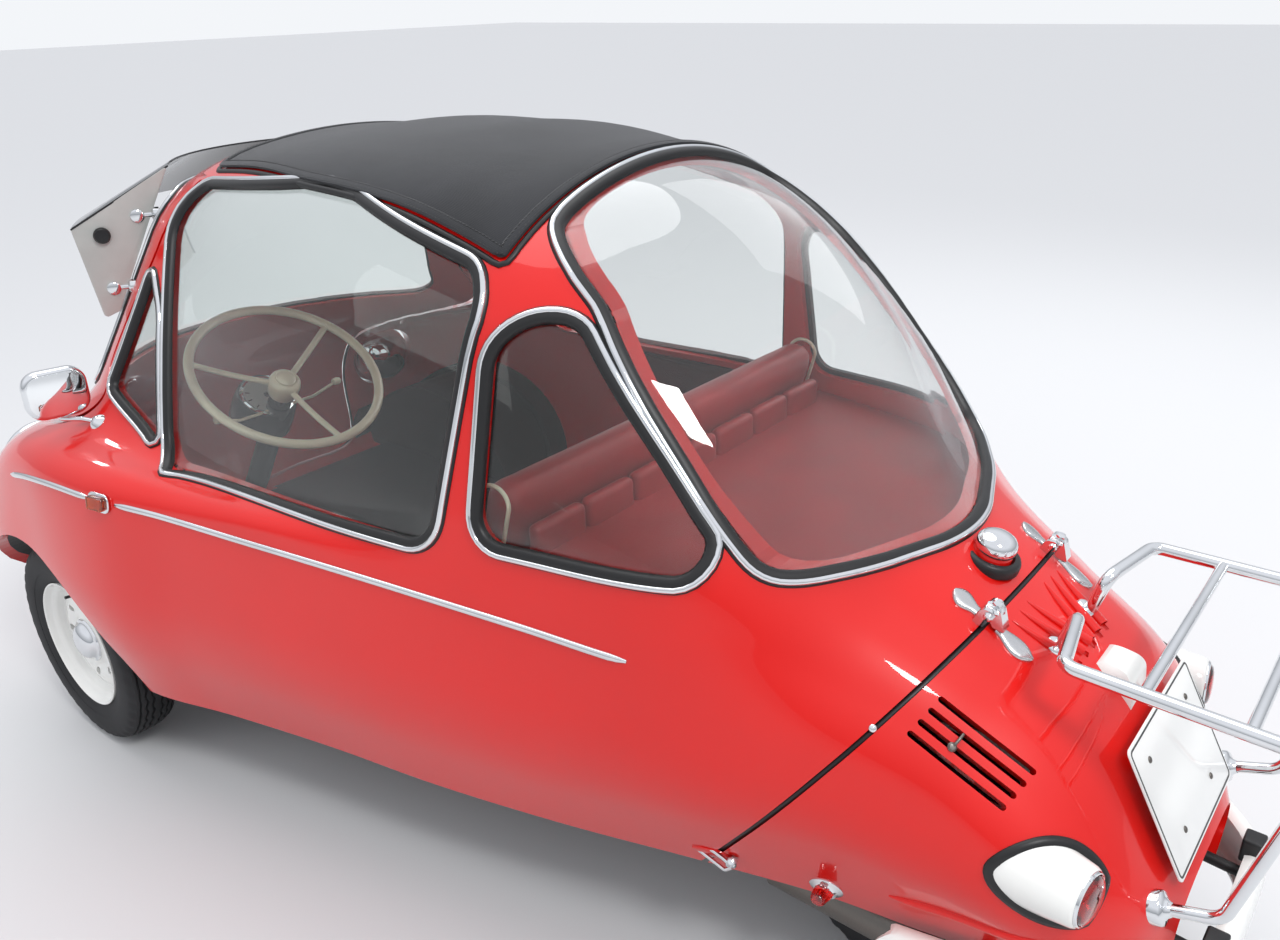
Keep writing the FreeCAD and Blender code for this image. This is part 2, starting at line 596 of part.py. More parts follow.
# Fittings that come in pairs
for side in ("left", "right"):
    # Headlamp: bezel and bowl let into the wing, with a domed lens
    bowl = revolved([(-92, 0), (-92, 40), (-40, 84), (6, 94), (22, 88), (22, 78), (0, 78), (-40, 70), (-80, 30), (-80, 0)],
                    HEADLAMP, LAMP_WAY, (1, 0.10, 0))
    nodes["headlamp_" + side] = side_of(bowl, side)
    lens = revolved([(4, 0), (4, 77.7), (12, 77.7), (34, 50), (42, 0)], HEADLAMP, LAMP_WAY, (1, 0.10, 0))
    nodes["headlamp_lens_" + side] = side_of(lens, side)
    # Turn indicator on the body side
    lamp = rod((640, 736, 693), (700, 736, 696), 24, 20).cut(rear_seat).cut(nose_seat)
    nodes["indicator_" + side] = side_of(outermost(lamp), side)
    # Trim strip along the body side
    strip = sharp_prism([(470, 676, 0), (560, 681, 0), (736, 688, 0), (1108, 684, 0), (1850, 676, 0), (1850, 688, 0),
                         (1108, 696, 0), (736, 700, 0), (560, 693, 0), (470, 686, 0)])
    layer = strip_rear.common(strip).fuse(strip_nose.common(strip))
    layer = layer.cut(rod((-REACH, 736, 694.5), (REACH, 736, 694.5), 25))
    sign = 1 if side == "left" else -1
    half = [s for s in layer.Solids if s.CenterOfMass.x * sign > 0]
    nodes["side_strip_" + side] = max(half, key=lambda s: s.Volume)
    nodes["front_strip_" + side] = min(half, key=lambda s: s.Volume)

# Door mirror on the left
stalk = tube_path([(548, 540, 770), (568, 530, 800), (606, 490, 836)], 6, 8)
head = rod((596, 462, 836), (604, 500, 836), 50, 62)
nodes["mirror_left"] = outermost(stalk.fuse(head).cut(nose_seat).cut(rear_seat))

# Filler cap on the deck
nodes["filler_cap"] = rod((18, 2172, 740), (18, 2184, 788), 28).cut(rear_seat)

# Tail lamps, reflectors, plate, bumper and rack ride on the engine cover
for side in ("left", "right"):
    pod = rod((288, 2300, 476), (292, 2452, 478), 58, 44).cut(rear_seat)
    nodes["tail_lamp_" + side] = side_of(outermost(pod), side)
    lamp_way = V(4, 152, 2).normalize()
    lens_start = V(292, 2452, 478) + lamp_way * SEAT_CLEARANCE
    nodes["tail_lens_" + side] = side_of(rod(lens_start, lens_start + lamp_way * 12, 40, 36), side)
    reflector = rod((285, 2092, 292), (345, 2098, 300), 24, 19).cut(rear_seat)
    nodes["reflector_" + side] = side_of(max(reflector.Solids, key=lambda one: one.CenterOfMass.x), side)
plate_centre = V(0, 2482, 518)
plate_up = V(0, -98, 175).normalize()
plate_back = V(0, -175, -98).normalize()
plate = box(-140, 140, -1.5, 1.5, -100, 100)
plate.rotate(V(0, 0, 0), X_AXIS, math.degrees(math.atan2(98, 175)))
plate.translate(plate_centre)
nodes["number_plate"] = plate
posts = []
for x, z in ((-90, 60), (90, 60), (-70, -60), (70, -60)):
    top = plate_centre + plate_up * z + X_AXIS * x + plate_back * (1.5 + SEAT_CLEARANCE)
    posts.append(rod(top, top + plate_back * 55, 9))
nodes["engine_cover"] = nodes["engine_cover"].fuse(posts)

# Hood of the plate lamp: rounded in side and front view
hood = prism([(2340, 590, 4), (2346, 666, 30), (2402, 650, 26), (2412, 575, 6)], "side", -40, 40)
hood = hood.common(prism([(-36, 560, 2), (36, 560, 2), (36, 668, 34), (-36, 668, 34)], "front", 2300, 2450))
nodes["plate_lamp"] = outermost(hood.cut(rear_seat))

# Bumper: a pressed channel with rounded ends, on four brackets
bumper = swept(BUMPER_PATH, BUMPER_BEND, BUMPER_SECTION)
bumper = bumper.common(prism([(2184, 188, 50), (2184, 292, 50), (2700, 345, 5), (2700, 190, 5)], "side", -REACH, REACH))
for start, end in (((100, 2500, 300), (100, 2609, 292)), ((262, 2330, 285), (322, 2330, 259))):
    bracket = rod(start, end, 9).cut(rear_seat)
    bumper = bumper.fuse([bracket, mirrored(bracket)])
nodes["rear_bumper"] = bumper
# Luggage rack: a loop with crossbars, two feet in front and two bent supports with flanges behind
rack = []
for side in (1, -1):
    rack.append(tube_path([(64 * side, 2300, 640), (64 * side, 2325, RACK_Z), (200 * side, 2350, RACK_Z),
                           (210 * side, 2676, RACK_Z), (0, 2676, RACK_Z)], RACK_TUBE, 22))
    rack.append(tube_path([(180 * side, 2480, 400), (182 * side, 2590, 442), (206 * side, 2652, RACK_Z - 2)],
                          RACK_TUBE - 1, 34))
    rack.append(rod((180 * side, 2500, 408), (180 * side, 2527, 418), 24))
for y in (2450, 2570):
    rack.append(rod((-202, y, RACK_Z), (202, y, RACK_Z), RACK_BAR))
rack = rack[0].fuse(rack[1:]).cut([rear_seat] + louvre_seats)
nodes["luggage_rack"] = max(rack.Solids, key=lambda one: one.Volume)

# Engine block, swing arm, silencer
nodes["engine_block"] = box(-210, 150, 1652 + SEAT_CLEARANCE, 1915, 330, 640)
nodes["engine_block"] = nodes["engine_block"].fuse(box(-38, 38, 1915, 2040, 300, 420))
arm = box(-20, 20, 2040.3, 2160, 200, 290).fuse(rod((-20, REAR_AXLE_Y, AXLE_Z), (20, REAR_AXLE_Y, AXLE_Z), 60))
arm = arm.fuse(rod((-120, REAR_AXLE_Y, AXLE_Z), (120, REAR_AXLE_Y, AXLE_Z), STUB_RADIUS))
arm = arm.fuse(box(-20, 20, 2040.3, 2160, 290, 330))
nodes["rear_arm"] = arm
nodes["silencer"] = rod((226, 1960, 200), (226, 2260, 200), 40).fuse(
    tube_path([(226, 1970, 200), (226, 1880, 200), (135, 1790, 230), (135, 1790, 330 - SEAT_CLEARANCE)], 17, 34))

# Front axle with forked ends, under the floor
axle = [rod((-497, FRONT_AXLE_Y, AXLE_Z), (497, FRONT_AXLE_Y, AXLE_Z), 26)]
for sign in (1, -1):
    axle.append(box(*sorted((495 * sign, 512 * sign)), FRONT_AXLE_Y - 25, FRONT_AXLE_Y + 25, 186, 292))
    for low, high in ((186, 198), (280, 292)):
        axle.append(box(*sorted((500 * sign, KINGPIN_X * sign)), FRONT_AXLE_Y - 22, FRONT_AXLE_Y + 22, low, high))
        axle.append(rod((KINGPIN_X * sign, FRONT_AXLE_Y, low), (KINGPIN_X * sign, FRONT_AXLE_Y, high), 22))
    axle.append(rod((KINGPIN_X * sign, FRONT_AXLE_Y, 186), (KINGPIN_X * sign, FRONT_AXLE_Y, 292), PIN_RADIUS))
    axle.append(box(*sorted((300 * sign, 350 * sign)), FRONT_AXLE_Y - 30, FRONT_AXLE_Y + 30, AXLE_Z,
                    FLOOR_Z - SEAT_CLEARANCE))
nodes["front_axle"] = axle[0].fuse(axle[1:])

# Wheels
tyre = tyre_shape()
rim = rim_shape()
for side in ("left", "right"):
    wheel = rim.cut(rod((-60, 0, 0), (14, 0, 0), STUB_RADIUS + RUNNING_CLEARANCE))
    nodes["front_tyre_" + side] = side_of(put(tyre, FRONT_TRACK / 2, FRONT_AXLE_Y, AXLE_Z), side)
    nodes["front_wheel_" + side] = side_of(put(wheel, FRONT_TRACK / 2, FRONT_AXLE_Y, AXLE_Z), side)
    # Knuckle: sleeve on the kingpin, stub axle and back plate
    sleeve = rod((KINGPIN_X, FRONT_AXLE_Y, 199), (KINGPIN_X, FRONT_AXLE_Y, 279), 26)
    stub = rod((KINGPIN_X, FRONT_AXLE_Y, AXLE_Z), (FRONT_TRACK / 2 + 12, FRONT_AXLE_Y, AXLE_Z), STUB_RADIUS)
    plate_disc = rod((576, FRONT_AXLE_Y, AXLE_Z), (584, FRONT_AXLE_Y, AXLE_Z), 92)
    knuckle = sleeve.fuse([stub, plate_disc])
    knuckle = knuckle.cut(rod((KINGPIN_X, FRONT_AXLE_Y, 190), (KINGPIN_X, FRONT_AXLE_Y, 290),
                              PIN_RADIUS + RUNNING_CLEARANCE))
    nodes["knuckle_" + side] = side_of(knuckle, side)
    nodes["rear_tyre_" + side] = side_of(put(tyre, REAR_TRACK / 2, REAR_AXLE_Y, AXLE_Z), side)
rear_bore = rod((-200, 0, 0), (200, 0, 0), STUB_RADIUS + RUNNING_CLEARANCE)
for side in ("left", "right"):
    drum = rim.cut(rod((-60, 0, 0), (14, 0, 0), STUB_RADIUS + RUNNING_CLEARANCE))
    nodes["rear_wheel_" + side] = side_of(put(drum, REAR_TRACK / 2, REAR_AXLE_Y, AXLE_Z), side)

# Door fittings
nodes["door_handle"] = tube_path([(-300, 30, 520), (-300, -28, 520), (-220, -28, 520), (-220, 30, 520)], 8, 12)
nodes["door_handle"] = outermost(nodes["door_handle"].cut(nose_seat))
# Sun visor: a conical peak over the windscreen with a cheek at each end, on stays from the door's frame
visor = revolve_sector([(345, 1240), (545, 1132), (547, 1135.5), (347, 1243.5)], VISOR_ANGLE)
for sign in (1, -1):
    outline = [(VISOR_STEP + reach_at(z), z) for z in (1225, 1130, 1040, 962)] + [(520, 950), (546, 1134), (347, 1243)]
    cheek = Part.makePolygon([V(0, FAN_AXIS_Y - r, z) for r, z in outline + outline[:1]])
    cheek = Part.Face(cheek).extrude(V(4 * sign, 0, 0))
    visor = visor.fuse(turned(cheek, (0, FAN_AXIS_Y, 0), (0, 0, 1), (VISOR_ANGLE - 0.5) * sign))
    for z in (1010, 1150):
        turn = math.radians(VISOR_ANGLE - 1)
        inner, outer = reach_at(z) - 12, reach_at(z) + 40
        stay = rod((inner * math.sin(turn) * sign, FAN_AXIS_Y - inner * math.cos(turn), z),
                   (outer * math.sin(turn) * sign, FAN_AXIS_Y - outer * math.cos(turn), z), 12)
        visor = visor.fuse(outermost(stay.cut(nose_seat)))
nodes["sun_visor"] = visor

# Every piece moves so that y = 0 is the middle of the whole length
os.makedirs("parts", exist_ok=True)
for name, shape in nodes.items():
    piece = shape.Solids[0] if len(shape.Solids) == 1 else shape
    piece.translate(V(0, -MIDDLE_Y, 0))
    piece.exportStep("parts/" + name + ".step")
    if len(shape.Solids) != 1 or not piece.isValid():
        print(name, "has", len(shape.Solids), "solids, valid:", piece.isValid())
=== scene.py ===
import functools
from math import asin, cos, degrees, hypot, pi, radians, sin, sqrt, tan, tau
import bpy
import bmesh
from mathutils import Matrix, Quaternion, Vector
from mathutils.bvhtree import BVHTree
from mathutils.interpolate import poly_3d_calc


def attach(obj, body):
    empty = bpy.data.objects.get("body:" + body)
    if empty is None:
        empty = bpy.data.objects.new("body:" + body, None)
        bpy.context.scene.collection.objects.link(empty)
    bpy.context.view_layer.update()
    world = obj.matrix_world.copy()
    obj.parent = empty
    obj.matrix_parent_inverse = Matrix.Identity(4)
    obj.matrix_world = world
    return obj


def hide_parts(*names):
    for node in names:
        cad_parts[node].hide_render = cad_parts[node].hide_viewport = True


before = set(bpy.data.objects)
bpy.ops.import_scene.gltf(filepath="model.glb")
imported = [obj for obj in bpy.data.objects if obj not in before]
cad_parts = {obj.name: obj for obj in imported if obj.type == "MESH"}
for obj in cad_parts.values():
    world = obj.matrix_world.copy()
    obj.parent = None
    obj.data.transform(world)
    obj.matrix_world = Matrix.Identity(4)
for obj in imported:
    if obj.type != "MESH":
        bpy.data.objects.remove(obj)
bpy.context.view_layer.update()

bl_info = {
    "name": "Bubble car",
    "version": (1, 0),
    "blender": (4, 5, 0),
    "location": "View3D > Sidebar > Bubble car",
    "description": "Dresses the jointed frame of a small bubble car with its skin, glass, trim and cloth",
    "category": "Object",
}

# Shapes are made in millimetres: x is the car's left, y runs rearwards from the nose, z is up.
# make_object moves them to the frame, which is in metres with y = 0 at the middle of the length.
MIDDLE_Y = 1325.0
# Upright axis round which the nose's sections stand
FAN_Y = 700.0
SIDES = (("left", 1), ("right", -1))
UP = Vector((0, 0, 1))
# Degrees in a radian, rounded
PER_RADIAN = 57.3
# The body's wall and how far its inner points may stray, the gap round its panels, the glass's depth
# under the skin and its thickness
WALL = 26.0
WALL_SLACK = 6.0
PANEL_GAP = 8.0
GLASS_INSET = 7.0
GLASS_THICK = 4.0

# Half sections of the body. Columns: place (fan angle from the car's side towards the nose, or y),
# then (half width, height) of sill, widest part, shoulder, belt, cant rail and crown.
NOSE_SECTIONS = [
    (0, (645, 235), (702, 420), (672, 742), (546, 752), (356, 1258), (0, 1290)),
    (20, (672, 235), (752, 420), (728, 730), (578, 768), (336, 1246), (0, 1290)),
    (45, (840, 240), (905, 420), (840, 640), (600, 745), (318, 1234), (0, 1290)),
    (60, (715, 248), (788, 430), (762, 612), (604, 740), (310, 1228), (0, 1290)),
    (75, (662, 255), (740, 435), (722, 605), (608, 738), (304, 1224), (0, 1290)),
    (90, (625, 258), (702, 440), (692, 600), (606, 738), (300, 1222), (0, 1290)),
]
SIDE_SECTIONS = [
    (900, (592, 238), (655, 430), (628, 735), (540, 748), (402, 1276), (0, 1312)),
    (1150, (534, 243), (606, 440), (580, 735), (536, 760), (424, 1280), (0, 1327)),
    (1400, (486, 248), (560, 450), (540, 725), (518, 790), (422, 1258), (0, 1316)),
    (1650, (425, 254), (515, 460), (500, 690), (484, 830), (388, 1192), (0, 1280)),
    (1900, (352, 260), (460, 475), (452, 680), (425, 850), (282, 1014), (0, 1112)),
    (2100, (300, 266), (392, 480), (374, 630), (305, 725), (165, 805), (0, 832)),
    (2250, (276, 270), (350, 450), (325, 580), (255, 650), (150, 706), (0, 716)),
    (2400, (240, 272), (320, 400), (300, 500), (210, 570), (130, 606), (0, 612)),
    (2500, (180, 275), (240, 350), (220, 420), (180, 440), (120, 452), (0, 455)),
    (2540, (120, 284), (160, 330), (148, 374), (118, 396), (80, 405), (0, 408)),
]
# How much of the shorter neighbour rounds each corner, then the steps of a section's flats, rounds and
# crown and of a span between two sections
CORNER_SHARE = (0.45, 0.40, 0.35, 0.40)
FLAT_STEPS = 4
ROUND_STEPS = 8
CROWN_STEPS = 10
SPAN_STEPS = 9

# Side view outlines: (y, z, corner radius)
SIDE_WINDOW = [(772, 742, 75), (1500, 768, 65), (1552, 1180, 75), (1150, 1272, 500), (640, 1222, 85)]
QUARTER_WINDOW = [(606, 1080, 20), (676, 1000, 90), (752, 758, 18), (530, 832, 24)]
REAR_SIDE_WINDOW = [(1566, 1262, 80), (1572, 796, 52), (1985, 812, 42)]
BUBBLE = [(1564, 1500, 5), (1564, 1240, 42), (1700, 1140, 250), (1995, 808, 100), (2300, 786, 5),
          (2300, 1500, 5)]
# Plan outline: (x, y, corner radius)
CANVAS = [(-292, 701, 20), (292, 701, 20), (350, 1060, 900), (368, 1548, 12), (-368, 1548, 12),
          (-350, 1060, 900)]
# Outlines seen from the upright axis at FAN_Y. Columns: height, angle from straight ahead, reach of the
# skin from the axis
DOOR = [(302, 23.0, 660), (308, 26.6, 670), (326, 29.0, 690), (360, 29.6, 740), (560, 30.0, 745),
        (640, 33.0, 700), (690, 43.0, 670), (740, 59.0, 620), (778, 67.0, 600), (805, 69.0, 585),
        (880, 67.5, 525), (960, 69.0, 470), (1065, 74.5, 430), (1160, 80.0, 330), (1226, 83.0, 245)]
SCREEN = [(786, 46.0, 590), (793, 52.0, 585), (815, 56.5, 575), (880, 58.0, 525), (960, 59.0, 470),
          (1065, 62.0, 430), (1150, 66.0, 380), (1186, 66.0, 350), (1197, 60.0, 335)]
# The tail seam from the side, (y, z) at the sill and at the deck
SEAM_LOW = (1922.0, 290.0)
SEAM_HIGH = (2230.0, 728.0)

# Wheels, lamps and joints, as in the frame. ARCH is y, z and radius; COVER_HINGE is y and z
AXLE_Z = 239.0
FRONT_AXLE_Y = 400.0
REAR_AXLE_Y = 2160.0
FRONT_TRACK = 1220.0
REAR_TRACK = 220.0
TYRE_RADIUS = 239.0
ARCH = (374.0, 190.0, 318.0)
HEADLAMP = (500.0, 52.0, 548.0)
LAMP_WAY = (0.10, -1.0, 0.16)
WHEEL_HUB = (250.0, 739.0, 805.0)
COLUMN_FOOT = (250.0, 415.0, 310.0)
VISOR_ANGLE = 62.0
COVER_HINGE = (2228.0, 742.0)

# Camera solved from the photograph, in the same millimetres
CAMERA_PLACE = (1432.0, 2664.0, 1551.0)
CAMERA_YAW = radians(50.66)
CAMERA_PITCH = radians(24.26)
CAMERA_ROLL = radians(-1.31)
FOCAL_PIXELS = 1074.6
PHOTO_WIDTH = 1280.0
SENSOR = 36.0


def linear(code):
    """sRGB hex colour as linear RGB."""
    values = [int(code[i:i + 2], 16) / 255 for i in (1, 3, 5)]
    return tuple(v / 12.92 if v <= 0.04045 else ((v + 0.055) / 1.055) ** 2.4 for v in values)


class BubbleCarColours(bpy.types.PropertyGroup):
    enamel: bpy.props.FloatVectorProperty(name="Enamel", description="Paint of the body", subtype="COLOR",
                                          default=linear("#D5110A"))
    canvas: bpy.props.FloatVectorProperty(name="Canvas", description="Roof cloth", subtype="COLOR",
                                          default=linear("#202124"))
    vinyl: bpy.props.FloatVectorProperty(name="Vinyl", description="Seat cover", subtype="COLOR",
                                         default=linear("#A51C1E"))
    cream: bpy.props.FloatVectorProperty(name="Cream", description="Steering wheel and stalks",
                                         subtype="COLOR", default=linear("#E6DDC2"))
    white: bpy.props.FloatVectorProperty(name="White", description="Bumper, lamps and wheel discs",
                                         subtype="COLOR", default=linear("#E9E9E5"))


class BubbleCarSizes(bpy.types.PropertyGroup):
    trim: bpy.props.FloatProperty(name="Window trim", description="Width of the bright moulding",
                                  default=0.009, min=0.004, max=0.016, unit="LENGTH")
    strip: bpy.props.FloatProperty(name="Side strip", description="Width of the strip along the side",
                                   default=0.012, min=0.006, max=0.020, unit="LENGTH")
    sag: bpy.props.FloatProperty(name="Roof sag", description="Sag of the roof cloth between its bows",
                                 default=0.005, min=0.0, max=0.015, unit="LENGTH")
    groove: bpy.props.FloatProperty(name="Tread", description="Depth of the tyres' grooves",
                                    default=0.006, min=0.002, max=0.009, unit="LENGTH")


def sizes():
    """The sizes that a user may change."""
    return bpy.context.scene.bubble_car_sizes


def colours():
    """The colours that a user may change."""
    return bpy.context.scene.bubble_car_colours


def add(tree, kind, settings=None, links=None, into=None):
    """Adds a node. settings: input socket or attribute, to its value; links: input socket to (node, output);
    into: output socket to (node, input)."""
    node = tree.nodes.new(kind)
    for key, value in (settings or {}).items():
        if isinstance(key, str) and hasattr(node, key):
            setattr(node, key, value)
        else:
            node.inputs[key].default_value = value
    for key, (source, output) in (links or {}).items():
        tree.links.new(source.outputs[output], node.inputs[key])
    for key, (target, socket) in (into or {}).items():
        tree.links.new(node.outputs[key], target.inputs[socket])
    return node


def new_material(name, settings):
    """Material with one Principled shader; returns the material, its tree, shader and object coordinates."""
    material = bpy.data.materials.new(name)
    material.use_nodes = True
    tree = material.node_tree
    shader = tree.nodes["Principled BSDF"]
    for key, value in settings.items():
        shader.inputs[key].default_value = value
    place = add(tree, "ShaderNodeTexCoord")
    return material, tree, shader, place


def mottled(tree, shader, place, colour, other, scale, detail=3.0):
    """Varies the colour slowly over the surface between two limits."""
    cloud = add(tree, "ShaderNodeTexNoise", {"Scale": scale, "Detail": detail},
                {"Vector": (place, "Object")})
    ramp = add(tree, "ShaderNodeValToRGB", {}, {"Fac": (cloud, "Fac")}, {"Color": (shader, "Base Color")})
    for stop, position, value in zip(ramp.color_ramp.elements, (0.35, 0.65), (colour, other)):
        stop.position = position
        stop.color = (*value, 1)


def shade(colour, factor):
    """The colour made darker or lighter by a factor."""
    return tuple(min(1.0, c * factor) for c in colour)


def enamel(name, colour):
    """Air-dried enamel, sprayed and polished: deep colour under a hard gloss, with a faint orange peel."""
    material, tree, shader, place = new_material(name, {
        "Roughness": 0.35, "Specular IOR Level": 0.15, "Coat Weight": 0.9, "Coat Roughness": 0.03,
        "Coat IOR": 1.45})
    mottled(tree, shader, place, colour, shade(colour, 0.93), 2.5)
    # orange peel about 9 mm across, drawn coarser than the real 2 mm so that it shows
    peel = add(tree, "ShaderNodeTexNoise", {"Scale": 110.0, "Detail": 1.0}, {"Vector": (place, "Object")})
    add(tree, "ShaderNodeBump", {"Strength": 0.05, "Distance": 0.0004}, {"Height": (peel, "Fac")},
        {"Normal": (shader, "Coat Normal")})
    return material


def metal(name, code, roughness, grain=0.0, scale=400.0):
    """Plated, polished or cast metal; grain gives the height of its surface marks in metres."""
    material, tree, shader, place = new_material(name, {"Metallic": 1.0, "Roughness": roughness})
    mottled(tree, shader, place, linear(code), shade(linear(code), 0.9), 9.0)
    cloud = add(tree, "ShaderNodeTexNoise", {"Scale": scale, "Detail": 3.0}, {"Vector": (place, "Object")})
    add(tree, "ShaderNodeMapRange", {"To Min": roughness * 0.7, "To Max": roughness * 1.5 + 0.01},
        {"Value": (cloud, "Fac")}, {"Result": (shader, "Roughness")})
    if grain:
        add(tree, "ShaderNodeBump", {"Strength": 0.6, "Distance": grain}, {"Height": (cloud, "Fac")},
            {"Normal": (shader, "Normal")})
    return material


def polymer(name, colour, roughness, grain, scale, variation=0.88, coat=0.0):
    """Moulded rubber or plastic, or thick paint, with a fine grain; grain is its height in metres."""
    material, tree, shader, place = new_material(name, {
        "Roughness": roughness, "IOR": 1.46, "Coat Weight": coat})
    mottled(tree, shader, place, colour, shade(colour, variation), 14.0)
    cloud = add(tree, "ShaderNodeTexNoise", {"Scale": scale, "Detail": 4.0}, {"Vector": (place, "Object")})
    add(tree, "ShaderNodeBump", {"Strength": 0.5, "Distance": grain}, {"Height": (cloud, "Fac")},
        {"Normal": (shader, "Normal")})
    return material


def woven_canvas(name, colour):
    """Rubberised cotton duck: matt, with a plain weave and a faint sheen of dust on the threads."""
    material, tree, shader, place = new_material(name, {
        "Roughness": 0.82, "IOR": 1.4, "Sheen Weight": 0.25, "Sheen Roughness": 0.4})
    mottled(tree, shader, place, colour, shade(colour, 1.5), 5.0, 5.0)
    # threads 2.4 mm apart, three times the real spacing, so that the weave shows; bands is how many a
    # wave texture of scale 1 has in a metre
    spacing = 0.0024
    bands = 3.18
    warp, weft = [add(tree, "ShaderNodeTexWave", {"bands_direction": way, "Scale": 1 / (spacing * bands),
                                                  "Distortion": 0.4, "Detail": 1.0},
                      {"Vector": (place, "Object")}) for way in ("X", "Y")]
    both = add(tree, "ShaderNodeMath", {"operation": "MAXIMUM"}, {0: (warp, "Fac"), 1: (weft, "Fac")})
    weave = add(tree, "ShaderNodeBump", {"Strength": 0.6, "Distance": 0.0005}, {"Height": (both, "Value")},
                {"Normal": (shader, "Normal")})
    folds = add(tree, "ShaderNodeTexNoise", {"Scale": 9.0, "Detail": 2.0}, {"Vector": (place, "Object")})
    add(tree, "ShaderNodeBump", {"Strength": 0.35, "Distance": 0.004}, {"Height": (folds, "Fac")},
        {"Normal": (weave, "Normal")})
    return material


def grained_vinyl(name, colour):
    """Calendered vinyl on cloth, embossed with a leather grain about 3 mm across and lightly worn."""
    material, tree, shader, place = new_material(name, {
        "Roughness": 0.42, "IOR": 1.5, "Sheen Weight": 0.05})
    mottled(tree, shader, place, colour, shade(colour, 0.8), 7.0)
    cells = add(tree, "ShaderNodeTexVoronoi", {"feature": "DISTANCE_TO_EDGE", "Scale": 320.0},
                {"Vector": (place, "Object")})
    add(tree, "ShaderNodeBump", {"Strength": 0.5, "Distance": 0.0006}, {"Height": (cells, "Distance")},
        {"Normal": (shader, "Normal")})
    return material


def clear(name, colour, roughness=0.0, ior=1.46, coat=0.0):
    """Clear or tinted glass or acrylic: sharp reflections over what lies behind it."""
    material, tree, shader, place = new_material(name, {
        "Base Color": (*colour, 1), "Roughness": roughness, "IOR": ior, "Transmission Weight": 1.0,
        "Coat Weight": coat, "Coat Roughness": 0.02})
    cloud = add(tree, "ShaderNodeTexNoise", {"Scale": 6.0, "Detail": 1.0}, {"Vector": (place, "Object")})
    add(tree, "ShaderNodeBump", {"Strength": 0.08, "Distance": 0.0002}, {"Height": (cloud, "Fac")},
        {"Normal": (shader, "Normal")})
    return material


def finishes():
    """Every finish: its slot in the record, the function that makes it and that function's values."""
    own = colours()
    return {
        # sprayed and polished: the body, its fittings and the wheels; deep gloss
        "red_enamel": ("red_paint", enamel, tuple(own.enamel)),
        "white_enamel": ("white_paint", enamel, tuple(own.white)),
        "black_enamel": ("black_paint", enamel, linear("#17171A")),
        "white_plate": ("white_paint", enamel, linear("#EDEDEA")),
        # nickel and chrome over steel: nearly a mirror
        "chrome_plate": ("bright_metal", metal, "#E4E6E8", 0.05),
        "mirror_glass": ("bright_metal", metal, "#F2F4F5", 0.01),
        # rubbed with polish: a soft, streaky shine
        "polished_aluminium": ("bright_metal", metal, "#C9CACB", 0.22, 0.00004, 900.0),
        # sand cast: pale grey with a coarse skin
        "cast_aluminium": ("cast_metal", metal, "#8E8F90", 0.48, 0.0006, 300.0),
        # rolled and left bare: dull brown grey
        "bare_steel": ("bright_metal", metal, "#77736E", 0.38, 0.0002, 260.0),
        # extruded and moulded rubber: black, the tyre greyer and rougher
        "seal_rubber": ("black_paint", polymer, linear("#1B1B1C"), 0.42, 0.0002, 500.0),
        "tyre_rubber": ("tyre_rubber", polymer, linear("#232325"), 0.72, 0.0006, 300.0, 0.75),
        # brushed bitumen paint under the floor: dull black, uneven
        "chassis_paint": ("black_paint", polymer, linear("#1A1A1B"), 0.5, 0.0005, 220.0),
        # pressed fibre board, lacquered: dark red with a fine tooth
        "maroon_board": ("red_vinyl", polymer, linear("#4A1512"), 0.45, 0.0004, 160.0),
        # moulded cellulose plastic: ivory under a polished surface
        "cream_plastic": ("cream_plastic", polymer, tuple(own.cream), 0.28, 0.0001, 260.0, 0.96, 0.4),
        "grey_plastic": ("grey_plastic", polymer, linear("#B4B6B2"), 0.4, 0.0002, 300.0),
        "black_plastic": ("black_paint", polymer, linear("#141416"), 0.3, 0.0002, 400.0),
        "canvas": ("canvas", woven_canvas, tuple(own.canvas)),
        "red_vinyl": ("red_vinyl", grained_vinyl, tuple(own.vinyl)),
        # float glass and blown acrylic: clear, with a slight waviness
        "clear_glass": ("clear_glass", clear, linear("#F4F8F6")),
        "clear_acrylic": ("clear_glass", clear, linear("#F6F6F6"), 0.0, 1.49),
        # moulded and tinted through: glossy outside, cloudy within
        "red_lens": ("red_lens", clear, linear("#D8160F"), 0.08, 1.49, 1.0),
        "amber_lens": ("amber_lens", clear, linear("#F08A18"), 0.1, 1.49, 1.0),
    }


@functools.cache
def material(name):
    """One finish, made when it is first used."""
    _, make, *values = finishes()[name]
    return make(name, *values)


def outline(corners, grow=0.0, step=8.0):
    """Points along a closed outline with rounded corners, moved outwards by grow. corners: (u, v, radius)."""
    count = len(corners)
    at = [Vector(c[:2]) for c in corners]
    area = sum(at[i - 1].cross(at[i]) for i in range(count))
    turn = 1 if area > 0 else -1
    result = []
    for i in range(count):
        back = (at[i - 1] - at[i])
        ahead = (at[(i + 1) % count] - at[i])
        half = back.angle(ahead) / 2
        reach = min(corners[i][2] / tan(half), 0.48 * min(back.length, ahead.length))
        radius = reach * tan(half)
        centre = at[i] + (back.normalized() + ahead.normalized()).normalized() * (reach / cos(half))
        first = at[i] + back.normalized() * reach - centre
        sweep = pi - 2 * half
        convex = -back.cross(ahead) * turn > 0
        way = turn if convex else -turn
        steps = max(3, int(degrees(sweep) / step))
        out = grow if convex else -grow
        for k in range(steps + 1):
            arm = first.copy()
            arm.rotate(Matrix.Rotation(way * sweep * k / steps, 2))
            result.append(centre + arm * ((radius + out) / radius))
    return result


